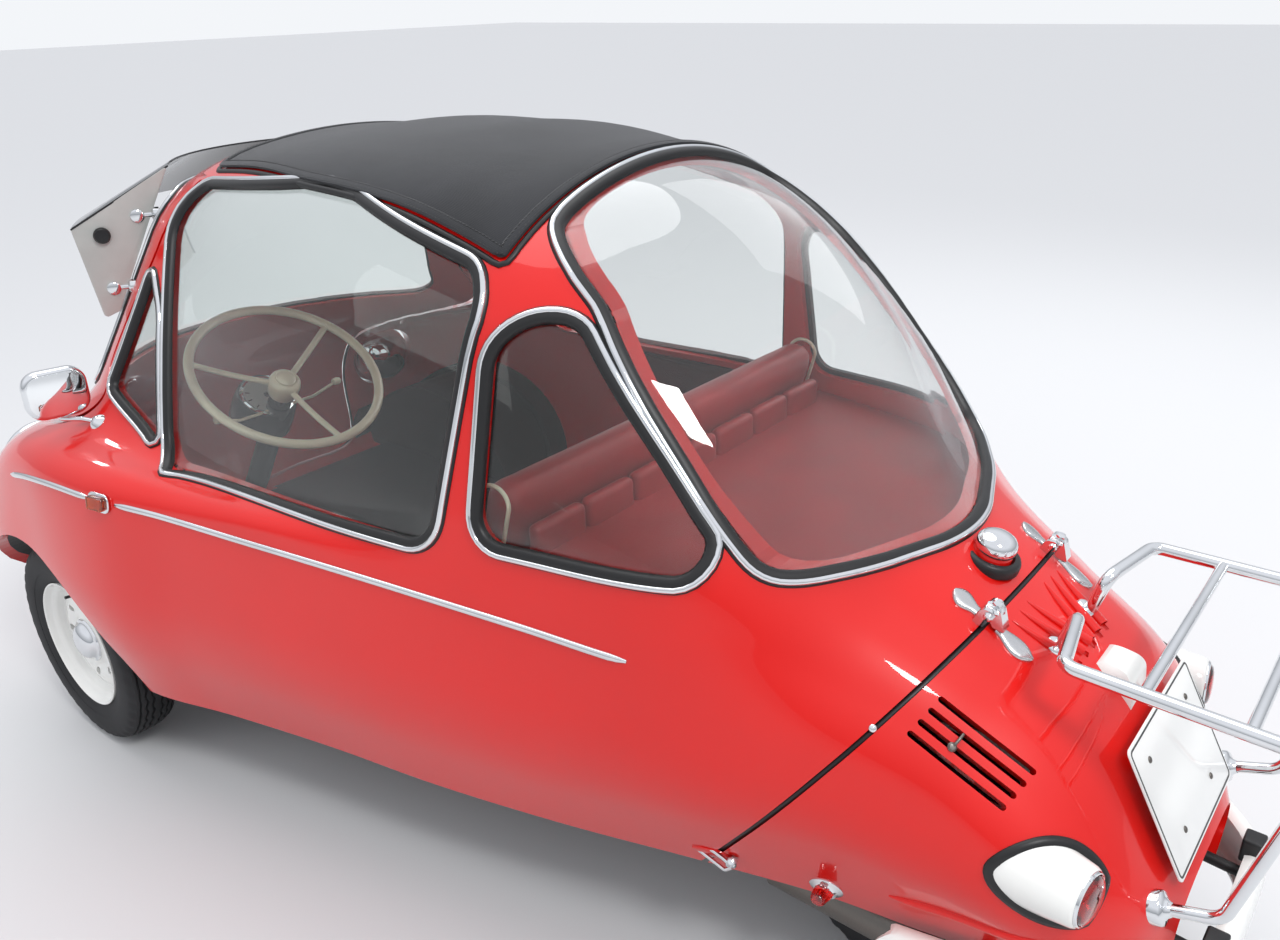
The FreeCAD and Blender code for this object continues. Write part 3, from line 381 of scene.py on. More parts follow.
def spaced(points, gap, closed=True):
    """Points along a polyline, evenly spaced about a gap apart."""
    line = [Vector(p) for p in points]
    if closed:
        line.append(line[0])
    lengths = [0.0]
    for one, two in zip(line, line[1:]):
        lengths.append(lengths[-1] + (two - one).length)
    count = max(4, round(lengths[-1] / gap))
    result = []
    k = 0
    for i in range(count + (0 if closed else 1)):
        want = lengths[-1] * i / count
        while k + 2 < len(lengths) and lengths[k + 1] < want:
            k += 1
        span = lengths[k + 1] - lengths[k]
        result.append(line[k].lerp(line[k + 1], (want - lengths[k]) / span if span else 0.0))
    return result


def tangents(points, stops):
    """Slopes of a smooth line through points at their stops."""
    gaps = [b - a for a, b in zip(stops, stops[1:])]
    chords = [(b - a) / gap for a, b, gap in zip(points, points[1:], gaps)]
    inner = [(chords[k] * gaps[k - 1] + chords[k - 1] * gaps[k]) / (gaps[k - 1] + gaps[k])
             for k in range(1, len(gaps))]
    return [chords[0]] + inner + [chords[-1]]


def between(p0, p1, m0, m1, h, q):
    """Cubic between two points with slopes m0 and m1 over a length h, at the share q."""
    return (p0 * (2 * q ** 3 - 3 * q ** 2 + 1) + m0 * (h * (q ** 3 - 2 * q ** 2 + q))
            + p1 * (3 * q ** 2 - 2 * q ** 3) + m1 * (h * (q ** 3 - q ** 2)))


def smooth_line(points, steps):
    """Smooth open line through a few points, each span in so many steps."""
    line = [Vector(p) for p in points]
    stops = [0.0]
    for one, two in zip(line, line[1:]):
        stops.append(stops[-1] + max((two - one).length, 1e-6))
    slopes = tangents(line, stops)
    result = []
    for k in range(len(line) - 1):
        span = stops[k + 1] - stops[k]
        for i in range(steps):
            result.append(between(line[k], line[k + 1], slopes[k], slopes[k + 1], span, i / steps))
    result.append(line[-1])
    return result


def corner_track(corner):
    """One corner of the sections along the car: left tail, nose, right tail."""
    half = [Vector((row[corner][0], row[0], row[corner][1])) for row in reversed(SIDE_SECTIONS)]
    for row in NOSE_SECTIONS:
        turn = radians(row[0])
        reach, height = row[corner]
        half.append(Vector((reach * cos(turn), FAN_Y - reach * sin(turn), height)))
    return half + [Vector((-p.x, p.y, p.z)) for p in reversed(half[:-1])]


def bezier(a, b, c, d, q):
    """Point of a cubic curve at the share q."""
    return a * (1 - q) ** 3 + b * (3 * q * (1 - q) ** 2) + c * (3 * q ** 2 * (1 - q)) + d * q ** 3


def section_points(corners):
    """Smooth half section through six corners from the sill to the crown."""
    crown = corners[5]
    cuts = []
    for i in range(1, 5):
        back, ahead = corners[i - 1] - corners[i], corners[i + 1] - corners[i]
        reach = CORNER_SHARE[i - 1] * min(back.length, ahead.length)
        turn = pi - back.angle(ahead)
        handle = reach * 4 / 3 * tan(turn / 4) / tan(turn / 2)
        cuts.append([corners[i] + back.normalized() * reach, corners[i] + ahead.normalized() * reach,
                     -back.normalized() * handle, ahead.normalized() * handle])
    start = cuts[3][1]
    flat = Vector((start.x - crown.x, start.y - crown.y, 0))
    width, rise = flat.length, crown.z - start.z
    radius = (width ** 2 + rise ** 2) / (2 * rise)
    lean = asin(min(1.0, width / radius))
    inwards = -flat.normalized()
    cuts[3][3] = (inwards * cos(lean) + UP * sin(lean)) * cuts[3][3].length
    points = []
    last = corners[0]
    for one, two, first, second in cuts:
        points += [last.lerp(one, k / FLAT_STEPS) for k in range(FLAT_STEPS)]
        points += [bezier(one, one + first, two - second, two, k / ROUND_STEPS) for k in range(ROUND_STEPS)]
        last = two
    for k in range(CROWN_STEPS + 1):
        share = 1 - k / CROWN_STEPS
        height = crown.z - radius + sqrt(radius ** 2 - (width * share) ** 2)
        points.append(Vector((crown.x, crown.y, 0)) + flat * share + Vector((0, 0, height)))
    return points


@functools.cache
def skin_grid():
    """Stations along the car, each with its smooth half section."""
    tracks = [corner_track(c) for c in range(1, 7)]
    stops = [0.0]
    for one, two in zip(tracks[1], tracks[1][1:]):
        stops.append(stops[-1] + (two - one).length)
    slopes = [tangents(track, stops) for track in tracks]
    rows = []
    for k in range(len(stops) - 1):
        last = k == len(stops) - 2
        for i in range(SPAN_STEPS + (1 if last else 0)):
            q = i / SPAN_STEPS
            corners = [between(t[k], t[k + 1], m[k], m[k + 1], stops[k + 1] - stops[k], q)
                       for t, m in zip(tracks, slopes)]
            rows.append(section_points(corners))
    return rows


def placed_grid(columns, rows, point, close_columns=False, close_rows=False, cap=False):
    """Grid whose vertices are put at point(column, row); closed ways are merged at the end."""
    bm = bmesh.new()
    bmesh.ops.create_grid(bm, x_segments=columns, y_segments=rows, size=1.0)
    bm.verts.ensure_lookup_table()
    for j in range(rows + 1):
        for i in range(columns + 1):
            bm.verts[j * (columns + 1) + i].co = point(i % columns if close_columns else i,
                                                       j % rows if close_rows else j)
    bmesh.ops.remove_doubles(bm, verts=bm.verts, dist=0.01)
    if cap:
        edges = [e for e in bm.edges if e.is_boundary]
        bmesh.ops.holes_fill(bm, edges=edges, sides=0)
    bmesh.ops.dissolve_degenerate(bm, dist=0.001, edges=bm.edges)
    bmesh.ops.recalc_face_normals(bm, faces=bm.faces)
    return bm


class Skin:
    """The smooth outer skin, as a tree for rays and nearest points."""

    def __init__(self):
        grid = skin_grid()
        self.bm = placed_grid(len(grid) - 1, len(grid[0]) - 1, lambda i, j: grid[i][j])
        self.bm.faces.ensure_lookup_table()
        middle = max(self.bm.faces, key=lambda f: f.calc_center_median().z)
        if middle.normal.z < 0:
            bmesh.ops.reverse_faces(self.bm, faces=self.bm.faces)
        self.bm.normal_update()
        self.tree = BVHTree.FromBMesh(self.bm)

    def normal_at(self, index, place):
        """Smooth normal on one face."""
        face = self.bm.faces[index]
        weights = poly_3d_calc([v.co for v in face.verts], place)
        total = Vector((0, 0, 0))
        for vert, weight in zip(face.verts, weights):
            total += vert.normal * weight
        return total.normalized()

    def cast(self, start, way):
        """First point of the skin along a ray, with its smooth normal."""
        place, _, index, _ = self.tree.ray_cast(Vector(start), Vector(way).normalized())
        if place is None:
            raise RuntimeError("no skin along the ray from %s" % (start,))
        return place, self.normal_at(index, place)

    def nearest(self, point):
        """The skin's nearest point, with its smooth normal."""
        place, _, index, _ = self.tree.find_nearest(point)
        return place, self.normal_at(index, place)


@functools.cache
def skin():
    """The one skin that all pieces follow."""
    return Skin()


def settled(point):
    """The skin's nearest point and normal."""
    return skin().nearest(point)


def on_side(y, z, sign=1):
    """Skin of one flank, seen from the side."""
    return skin().cast((sign * 2000, y, z), (-sign, 0, 0))


def on_top(x, y):
    """Skin seen from above."""
    return skin().cast((x, y, 3000), (0, 0, -1))


def on_fan(height, angle):
    """Skin seen from the upright axis; the angle is in degrees from straight ahead, positive to the left."""
    way = Vector((sin(radians(angle)), -cos(radians(angle)), 0))
    return skin().cast(Vector((0, FAN_Y, height)) + way * 3000, -way)


def on_seam(angle, shift=0.0):
    """Skin on the tail seam's slanted plane; the angle is in degrees from the left sill over the top."""
    up = Vector((0, SEAM_HIGH[0] - SEAM_LOW[0], SEAM_HIGH[1] - SEAM_LOW[1])).normalized()
    way = Vector((1, 0, 0)) * cos(radians(angle)) + up * sin(radians(angle))
    foot = Vector((0, SEAM_LOW[0] + shift, SEAM_LOW[1] - 4))
    return skin().cast(foot + way * 2000, -way)


def to_mm(place):
    """A place of the frame, in the car's millimetres."""
    return place * 1000 + Vector((0, MIDDLE_Y, 0))


def to_frame(point):
    """A point in the car's millimetres, in the frame."""
    return (point - Vector((0, MIDDLE_Y, 0))) / 1000


def linked(name, data):
    """Object of a mesh, lamp or camera, linked to the scene."""
    obj = bpy.data.objects.new(name, data)
    bpy.context.scene.collection.objects.link(obj)
    return obj


def make_object(bm, name):
    """Object of a mesh in millimetres, moved to the frame's metres."""
    bmesh.ops.translate(bm, verts=bm.verts, vec=(0, -MIDDLE_Y, 0))
    bmesh.ops.scale(bm, verts=bm.verts, vec=(0.001, 0.001, 0.001))
    mesh = bpy.data.meshes.new(name)
    bm.to_mesh(mesh)
    bm.free()
    return linked(name, mesh)


def dress(obj, finish, body, replaces=()):
    """Gives a finished object its material and body, and hides the frame's parts that it replaces."""
    obj.data.materials.clear()
    obj.data.materials.append(material(finish))
    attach(obj, body)
    if replaces:
        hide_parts(*replaces)
    return obj


def piece(bm, name, finish, body, replaces=(), sharp=38.0):
    """Makes a mesh in millimetres a piece, creased where faces meet at more than sharp degrees."""
    bmesh.ops.remove_doubles(bm, verts=bm.verts, dist=0.01)
    bmesh.ops.recalc_face_normals(bm, faces=bm.faces)
    limit = radians(sharp)
    for face in bm.faces:
        face.smooth = True
    for edge in bm.edges:
        edge.smooth = len(edge.link_faces) == 2 and edge.calc_face_angle(0.0) < limit
    return dress(make_object(bm, name), finish, body, replaces)


def joined(*parts):
    """Puts several meshes into the first."""
    whole = parts[0]
    for part in parts[1:]:
        mesh = bpy.data.meshes.new("part")
        part.to_mesh(mesh)
        part.free()
        whole.from_mesh(mesh)
        bpy.data.meshes.remove(mesh)
    return whole


def flipped(bm):
    """The same mesh on the car's other side."""
    bmesh.ops.scale(bm, verts=bm.verts, vec=(-1, 1, 1))
    bmesh.ops.reverse_faces(bm, faces=bm.faces)
    return bm


def pair(make, name, finish, body, replaces="", sharp=38.0):
    """Makes a piece for the left and its mirror image for the right."""
    for side, sign in SIDES:
        bm = make()
        if sign < 0:
            flipped(bm)
        piece(bm, name + "_" + side, finish, body, [replaces + "_" + side] if replaces else (), sharp)


def sweep(path, section, closed=False, taper=0):
    """Runs a section along a path of (point, normal). Section corners: (sideways, along the normal)."""
    count = len(path)
    frames = []
    for i, (point, normal) in enumerate(path):
        before = path[i - 1][0] if i or closed else point
        after = path[(i + 1) % count][0] if i + 1 < count or closed else point
        along = (after - before).normalized()
        side = along.cross(normal).normalized()
        frames.append((point, side, side.cross(along)))

    def corner(i, j):
        point, side, up = frames[i]
        a, b = section[j]
        if taper and not closed:
            ends = min(1.0, (min(i, count - 1 - i) + 0.35) / taper)
            a, b = a * sqrt(ends), b * sqrt(ends)
        return point + side * a + up * b
    columns = count if closed else count - 1
    return placed_grid(columns, len(section), corner, closed, True, cap=not closed)


def bent(points, bend=0.0):
    """Points along a line whose corners are rounded to a radius."""
    line = [Vector(p) for p in points]
    path = [line[0]]
    for i in range(1, len(line) - 1):
        back, ahead = (line[i - 1] - line[i]), (line[i + 1] - line[i])
        half = back.angle(ahead) / 2
        if not bend or half > 1.55:
            path.append(line[i])
            continue
        reach = bend / tan(half)
        one, two = line[i] + back.normalized() * reach, line[i] + ahead.normalized() * reach
        centre = line[i] + (back.normalized() + ahead.normalized()).normalized() * (reach / cos(half))
        steps = max(2, int((pi - 2 * half) / radians(9)))
        arm, axis = one - centre, (one - centre).cross(two - centre).normalized()
        sweep_angle = (one - centre).angle(two - centre)
        path += [centre + Quaternion(axis, sweep_angle * k / steps) @ arm for k in range(steps + 1)]
    path.append(line[-1])
    return path


def tube(points, radius, bend=0.0, sides=16):
    """Round tube along points whose corners are bent to a radius."""
    path = bent(points, bend)
    side = None
    frames = []
    for i, point in enumerate(path):
        along = (path[min(i + 1, len(path) - 1)] - path[max(i - 1, 0)]).normalized()
        if side is None:
            side = along.orthogonal().normalized()
        side = (side - along * side.dot(along)).normalized()
        frames.append((point, side, along.cross(side)))

    def corner(i, j):
        point, side_way, up = frames[i]
        turn = tau * j / sides
        return point + (side_way * cos(turn) + up * sin(turn)) * radius
    return placed_grid(len(path) - 1, sides, corner, False, True, cap=True)


def basis(centre, axis, hint=(0, 0, 1)):
    """Matrix that takes z to an axis and the origin to a centre."""
    z = Vector(axis).normalized()
    x = Vector(hint).cross(z)
    if x.length < 1e-4:
        x = Vector((1, 0, 0)).cross(z)
    x.normalize()
    y = z.cross(x)
    turn = Matrix((x, y, z)).transposed().to_4x4()
    turn.translation = Vector(centre)
    return turn


def lathe(profile, centre, axis, steps=48, hint=(0, 0, 1)):
    """Spins a profile of (radius, height along the axis) round the axis at a centre."""
    bm = bmesh.new()
    verts = [bm.verts.new((r, 0, h)) for r, h in profile]
    edges = [bm.edges.new(two) for two in zip(verts, verts[1:])]
    bmesh.ops.spin(bm, geom=verts + edges, cent=(0, 0, 0), axis=(0, 0, 1), angle=tau, steps=steps,
                   use_merge=True)
    bmesh.ops.remove_doubles(bm, verts=bm.verts, dist=0.01)
    bmesh.ops.dissolve_degenerate(bm, dist=0.001, edges=bm.edges)
    bmesh.ops.recalc_face_normals(bm, faces=bm.faces)
    bmesh.ops.transform(bm, matrix=basis(centre, axis, hint), verts=bm.verts)
    return bm


def rolled(bm, radius, segments, sharper):
    """Rolls the edges whose faces meet at more than sharper degrees."""
    edges = [e for e in bm.edges if e.calc_face_angle(0.0) > radians(sharper)]
    bmesh.ops.bevel(bm, geom=edges, offset=radius, offset_type="OFFSET", segments=segments, profile=0.5,
                    affect="EDGES", material=-1, clamp_overlap=True)
    return bm


def oval(wide, high, count):
    """Section of a round or oval bar, from its half width and half height."""
    turns = [tau * k / count for k in range(count)]
    return [(wide * cos(turn), high * sin(turn)) for turn in turns]


def slab(corners, thickness, way, bevel=0.0, segments=3):
    """Flat plate of an outline, extruded along a way, with rolled edges."""
    bm = bmesh.new()
    face = bm.faces.new([bm.verts.new(c) for c in corners])
    result = bmesh.ops.extrude_face_region(bm, geom=[face])
    moved = [v for v in result["geom"] if isinstance(v, bmesh.types.BMVert)]
    bmesh.ops.translate(bm, verts=moved, vec=Vector(way).normalized() * thickness)
    bmesh.ops.recalc_face_normals(bm, faces=bm.faces)
    if bevel:
        rolled(bm, bevel, segments, 40)
    return bm


def prism(corners, view, low, high, grow=0.0):
    """Closed prism of a rounded outline. view is side (y, z), front (x, z) or plan (x, y)."""
    points = outline(corners, grow)
    if view == "side":
        return slab([(low, p.x, p.y) for p in points], high - low, (1, 0, 0))
    if view == "front":
        return slab([(p.x, low, p.y) for p in points], high - low, (0, 1, 0))
    return slab([(p.x, p.y, low) for p in points], high - low, (0, 0, 1))


def fan_line(rows, steps=4):
    """Smooth (height, angle, reach) along an outline's left side."""
    flat = [(angle * reach / PER_RADIAN, height, reach) for height, angle, reach in rows]
    return [(p.y, p.x / p.z * PER_RADIAN, p.z) for p in smooth_line(flat, steps)]


def fan_wedge(rows, grow=0.0):
    """Closed cutter seen from the upright axis."""
    line = fan_line(rows, 10)
    widest = max(range(len(line)), key=lambda i: (line[i][1], i))

    def corner(i, j):
        height, angle, reach = line[j]
        turn = radians(angle) + grow / reach
        level = height + (grow if j >= widest else -grow)
        sides = [Vector((r * sin(turn), FAN_Y - r * cos(turn), level))
                 for r in (reach - 70, reach - 20, reach + 30, 1300)]
        loop = [Vector((0, FAN_Y, level))] + sides + [Vector((sides[-1].x, -1050, level)),
                                                      Vector((-sides[-1].x, -1050, level))]
        loop += [Vector((-p.x, p.y, level)) for p in reversed(sides)]
        return loop[i]
    bm = placed_grid(11, len(line) - 1, corner, True, False, cap=True)
    bmesh.ops.recalc_face_normals(bm, faces=bm.faces)
    return bm


def fan_path(rows, grow=0.0, gap=14.0):
    """The closed outline of a fan opening on the skin, as (point, normal)."""
    line = fan_line(rows)
    left = []
    widest = max(range(len(line)), key=lambda i: (line[i][1], i))
    for j, (height, angle, reach) in enumerate(line):
        left.append((height + (grow if j >= widest else -grow), angle + degrees(grow / reach)))
    top = [(left[-1][0], left[-1][1] * (1 - 2 * k / 24)) for k in range(1, 24)]
    bottom = [(left[0][0], -left[0][1] * (1 - 2 * k / 24)) for k in range(1, 24)]
    ring = left + top + [(h, -a) for h, a in reversed(left)] + bottom
    hits = [on_fan(height, angle)[0] for height, angle in ring]
    return [settled(p) for p in spaced(hits, gap)]


def side_path(corners, sign, grow=0.0, gap=12.0):
    """A side view outline on one flank, as (point, normal)."""
    return [on_side(p.x, p.y, sign) for p in spaced(outline(corners, grow), gap)]


def solid_skin(name, inset=0.0, thickness=WALL):
    """Closed wall between the skin moved in by an inset and the same moved in by the thickness."""
    bm = skin().bm.copy()
    if inset:
        for vert in bm.verts:
            vert.co -= vert.normal * inset
    obj = make_object(bm, name)
    outer = len(obj.data.vertices)
    wall = obj.modifiers.new("wall", "SOLIDIFY")
    wall.thickness = thickness / 1000
    wall.offset = -1.0
    wall.use_even_offset = False
    frozen(obj)
    # where the sections meet at the crown, inner corners that came out on top go back under the skin
    for vert in obj.data.vertices:
        point = to_mm(vert.co)
        place, normal = settled(point)
        depth = inset if vert.index < outer else inset + thickness
        if (place - point).dot(normal) < depth - WALL_SLACK:
            vert.co = to_frame(place - normal * depth)
    return obj


def frozen(obj):
    """Applies an object's modifiers."""
    graph = bpy.context.evaluated_depsgraph_get()
    mesh = bpy.data.meshes.new_from_object(obj.evaluated_get(graph))
    old = obj.data
    obj.modifiers.clear()
    obj.data = mesh
    bpy.data.meshes.remove(old)
    return obj


def carved(obj, cuts, keep=()):
    """Cuts meshes away from an object, after keeping only what lies in the keep meshes."""
    tools = []
    for bm, mode in [(k, "INTERSECT") for k in keep] + [(c, "DIFFERENCE") for c in cuts]:
        tool = make_object(bm, "tool")
        tools.append(tool)
        step = obj.modifiers.new("cut", "BOOLEAN")
        step.operation = mode
        step.solver = "MANIFOLD"
        step.object = tool
    bpy.context.view_layer.update()
    frozen(obj)
    for tool in tools:
        mesh = tool.data
        bpy.data.objects.remove(tool)
        bpy.data.meshes.remove(mesh)
    return obj


def cut_mesh(bm, cuts, keep=()):
    """The same as carved, on a mesh in millimetres."""
    bmesh.ops.recalc_face_normals(bm, faces=bm.faces)
    obj = carved(make_object(bm, "blank"), cuts, keep)
    result = bmesh.new()
    result.from_mesh(obj.data)
    mesh = obj.data
    bpy.data.objects.remove(obj)
    bpy.data.meshes.remove(mesh)
    bmesh.ops.scale(result, verts=result.verts, vec=(1000, 1000, 1000))
    bmesh.ops.translate(result, verts=result.verts, vec=(0, MIDDLE_Y, 0))
    return result


def ribbed(rows, count, centre, axis, hint=(0, 0, 1), phase=0.5):
    """Turned shape with ribs along it. rows: (height, radius in the grooves, radius on the ribs)."""
    bm = placed_grid(len(rows) - 1, count * 4, lambda i, j: Vector((
        rows[i][1 + (j % 4 in (1, 2))] * cos(tau * (j + phase) / (count * 4)),
        rows[i][1 + (j % 4 in (1, 2))] * sin(tau * (j + phase) / (count * 4)),
        rows[i][0])), False, True, cap=True)
    bmesh.ops.transform(bm, matrix=basis(centre, axis, hint), verts=bm.verts)
    return bm


def meeting(end, way, radius, reach=165, count=44):
    """Closed line where the side of a round pod meets the skin within reach, as (point, normal)."""
    way = Vector(way).normalized()
    one = way.orthogonal().normalized()
    two = way.cross(one)
    path = []
    for k in range(count):
        turn = tau * k / count
        start = Vector(end) + (one * cos(turn) + two * sin(turn)) * radius
        place = skin().cast(start, -way)[0]
        if (place - start).length < reach:
            path.append(place)
    return [settled(p) for p in spaced(path, 8)]


def plate(points, thickness, centre, axis, bevel=0.0, hint=(0, 0, 1), segments=3):
    """Flat plate drawn in its own plane, put at a centre and facing along an axis."""
    bm = slab([(p[0], p[1], 0) for p in points], thickness, (0, 0, 1), bevel, segments)
    bmesh.ops.transform(bm, matrix=basis(centre, axis, hint), verts=bm.verts)
    return bm


def block(size, centre, bevel=3.0):
    """Box with rolled edges."""
    x, y, z = (v / 2 for v in size)
    bm = slab([(-x, -y, -z), (x, -y, -z), (x, y, -z), (-x, y, -z)], size[2], (0, 0, 1), bevel)
    bmesh.ops.translate(bm, verts=bm.verts, vec=centre)
    return bm


def screw(centre, axis, radius=4.5):
    """Domed screw head."""
    return lathe([(radius, -1), (radius, 0.4), (radius * 0.8, radius * 0.35), (radius * 0.4, radius * 0.52),
                  (0, radius * 0.55)], centre, axis, 20)


def leaf(centre, way, widths, length, height):
    """Blade lying on the skin from a centre along a way: half widths at equal steps of its length."""
    columns = len(widths) - 1
    ring = [(-1, -1.5), (-1, 0.5), (-0.8, 0.8), (-0.4, 0.96), (0, 1), (0.4, 0.96), (0.8, 0.8), (1, 0.5),
            (1, -1.5)]

    def corner(i, j):
        place, normal = settled(Vector(centre) + Vector(way) * (length * i / columns))
        side = Vector(way).cross(normal).normalized()
        a, b = ring[j]
        flat, up = settled(place + side * (a * widths[i]))
        return flat + up * (b * height if b > 0 else b)
    return placed_grid(columns, len(ring), corner, False, True, cap=True)


# Cosine above which a face counts as lying along the skin
ALONG_SKIN = 0.86


def skin_shading(obj):
    """Gives faces that lie along the skin its smooth normals; cut edges stay flat."""
    mesh = obj.data
    found = {vert.index: settled(to_mm(vert.co))[1] for vert in mesh.vertices}
    normals = [UP] * len(mesh.loops)
    for face in mesh.polygons:
        face.use_smooth = True
        mean = Vector((0, 0, 0))
        for v in face.vertices:
            mean += found[v]
        mean.normalize()
        along = mean.dot(face.normal)
        for loop in face.loop_indices:
            if abs(along) > ALONG_SKIN:
                normals[loop] = found[mesh.loops[loop].vertex_index] * (1 if along > 0 else -1)
            else:
                normals[loop] = face.normal.copy()
    mesh.normals_split_custom_set(normals)
    return obj


def seam_cutter(grow=0.0):
    """Closed cutter that holds everything behind the tail seam."""
    slope = (SEAM_HIGH[0] - SEAM_LOW[0]) / (SEAM_HIGH[1] - SEAM_LOW[1])
    shift = grow * sqrt(1 + slope ** 2)
    low, high = SEAM_LOW[0] - slope * 190 - shift, SEAM_LOW[0] + slope * 1000 - shift
    corners = [(low, 100), (high, SEAM_LOW[1] + 1000), (3300, SEAM_LOW[1] + 1000), (3300, 100)]
    return slab([(-900, y, z) for y, z in corners], 1800, (1, 0, 0))


def arch_cutter(sign):
    """Closed cutter of one front wheel arch."""
    y, z, radius = ARCH
    return lathe([(0, 0), (radius, 0), (radius, 420), (0, 420)], (sign * 480, y, z), (sign, 0, 0), 96)


# Sections: (sideways, along the skin's normal); the strip's are shares of its width
RUBBER_SECTION = [(-13, -9), (-13, 1), (-9, 4.5), (-2, 5.5), (6, 5), (11, 3), (12.5, 0), (12.5, -9)]
STRIP_SECTION = [(-0.5, -0.2), (-0.5, 0.2), (-0.3, 0.38), (0, 0.46), (0.3, 0.38), (0.5, 0.2), (0.5, -0.2)]


def outwards(path):
    """The same closed path, running so that its sideways direction points away from its middle."""
    middle = sum((spot[0] for spot in path), Vector((0, 0, 0))) / len(path)
    total = 0.0
    for i, (point, normal) in enumerate(path):
        along = path[(i + 1) % len(path)][0] - path[i - 1][0]
        total += along.cross(normal).normalized().dot((point - middle).normalized())
    return path if total > 0 else path[::-1]


def trim(name, path, body):
    """Black rubber with a bright moulding let into its outer half, round one window."""
    path = outwards(path)
    piece(sweep(path, RUBBER_SECTION, True), name + "_rubber", "seal_rubber", body, sharp=60)
    width = sizes().trim * 1000
    bright = [(0, 3), (0.4, 6.4), (width * 0.25, 8), (width * 0.7, 8), (width - 0.3, 6), (width, 2)]
    piece(sweep(path, bright, True), name + "_moulding", "chrome_plate", body, sharp=60)


def pane(layer, name, keep, finish, body, node):
    """One pane cut out of the glass layer."""
    obj = linked(name, layer.data.copy())
    carved(obj, [], keep)
    skin_shading(obj)
    return dress(obj, finish, body, [node])


# The upper vent slot of the left flank: its ends, the way it is cut, and the step to the next slot
SLOT_START = Vector((260, 2219, 666))
SLOT_END = Vector((239, 2345, 594))
SLOT_WAY = Vector((0.605, 0.467, 0.641)).normalized()
SLOT_STEP = Vector((16.5, -6, -11.5))
SLOT_RADIUS = 4.5


def vent_slots(sign):
    """Four round-ended slots in the flank of the engine cover, as cutters."""
    cutters = []
    for k in range(4):
        start, end = SLOT_START + SLOT_STEP * k, SLOT_END + SLOT_STEP * k
        along = (end - start).normalized()
        side = along.cross(SLOT_WAY).normalized()
        corners = []
        for centre, first in ((end, -90), (start, 90)):
            for turn in range(first, first + 181, 30):
                a = radians(turn)
                round_end = along * (SLOT_RADIUS * cos(a)) + side * (SLOT_RADIUS * sin(a))
                corners.append(centre + round_end - SLOT_WAY * 50)
        cutter = slab(corners, 100, SLOT_WAY)
        cutters.append(cutter if sign > 0 else flipped(cutter))
    return cutters


# Raised louvres of the left half: ends of the inner one, the step outwards to the next, and how many
LOUVRE_START = Vector((34, 2244))
LOUVRE_END = Vector((4, 2330))
LOUVRE_STEP = 28.0
LOUVRE_COUNT = 3


def louvre_lines(sign):
    """Start and end of each raised louvre on one side of the engine cover, settled on the skin."""
    lines = []
    for k in range(LOUVRE_COUNT):
        ends = [(sign * (p.x + LOUVRE_STEP * k), p.y) for p in (LOUVRE_START, LOUVRE_END)]
        lines.append([on_top(x, y)[0] for x, y in ends])
    return lines


class BUBBLECAR_OT_body(bpy.types.Operator):
    """Smooth shell of the body with its openings"""
    bl_idname = "bubblecar.body"
    bl_label = "Body shell"

    def execute(self, context):
        tail = seam_cutter(PANEL_GAP)
        cuts = [fan_wedge(DOOR, PANEL_GAP), prism(SIDE_WINDOW, "side", -900, 900),
                prism(QUARTER_WINDOW, "side", -900, 900), prism(REAR_SIDE_WINDOW, "side", -900, 900),
                prism(BUBBLE, "side", -900, 900), prism(CANVAS, "plan", 1150, 1500, -26), tail,
                arch_cutter(1), arch_cutter(-1)]
        for sign in (1, -1):
            hole = lathe([(0, -94), (94.3, -94), (94.3, 80), (0, 80)], HEADLAMP, LAMP_WAY, 64)
            cuts.append(hole if sign > 0 else flipped(hole))
        shell = carved(solid_skin("body_skin"), cuts)
        # where a cut leaves a corner above the skin, the corner goes back onto it
        for vert in shell.data.vertices:
            point = to_mm(vert.co)
            place, normal = settled(point)
            if (point - place).dot(normal) > 1:
                vert.co = to_frame(place - normal * 2)
        skin_shading(shell)
        dress(shell, "red_enamel", "body", ["body_shell"])
        return {"FINISHED"}


class BUBBLECAR_OT_door(bpy.types.Operator):
    """The front door's panel"""
    bl_idname = "bubblecar.door"
    bl_label = "Door"

    def execute(self, context):
        panel = carved(solid_skin("door_skin"), [fan_wedge(SCREEN)], [fan_wedge(DOOR)])
        skin_shading(panel)
        dress(panel, "red_enamel", "door", ["door_panel"])
        return {"FINISHED"}


class BUBBLECAR_OT_cover(bpy.types.Operator):
    """Hinged cover of the engine with slots and louvres"""
    bl_idname = "bubblecar.cover"
    bl_label = "Engine cover"

    def execute(self, context):
        cuts = vent_slots(1) + vent_slots(-1)
        for sign in (1, -1):
            for one, two in louvre_lines(sign):
                along = two - one
                cuts.append(tube([two - along * 0.35, two + along * 0.1], 5.5, sides=12))
        panel = carved(solid_skin("cover_skin"), cuts, [seam_cutter()])
        skin_shading(panel)
        dress(panel, "red_enamel", "cover", ["engine_cover"])
        return {"FINISHED"}


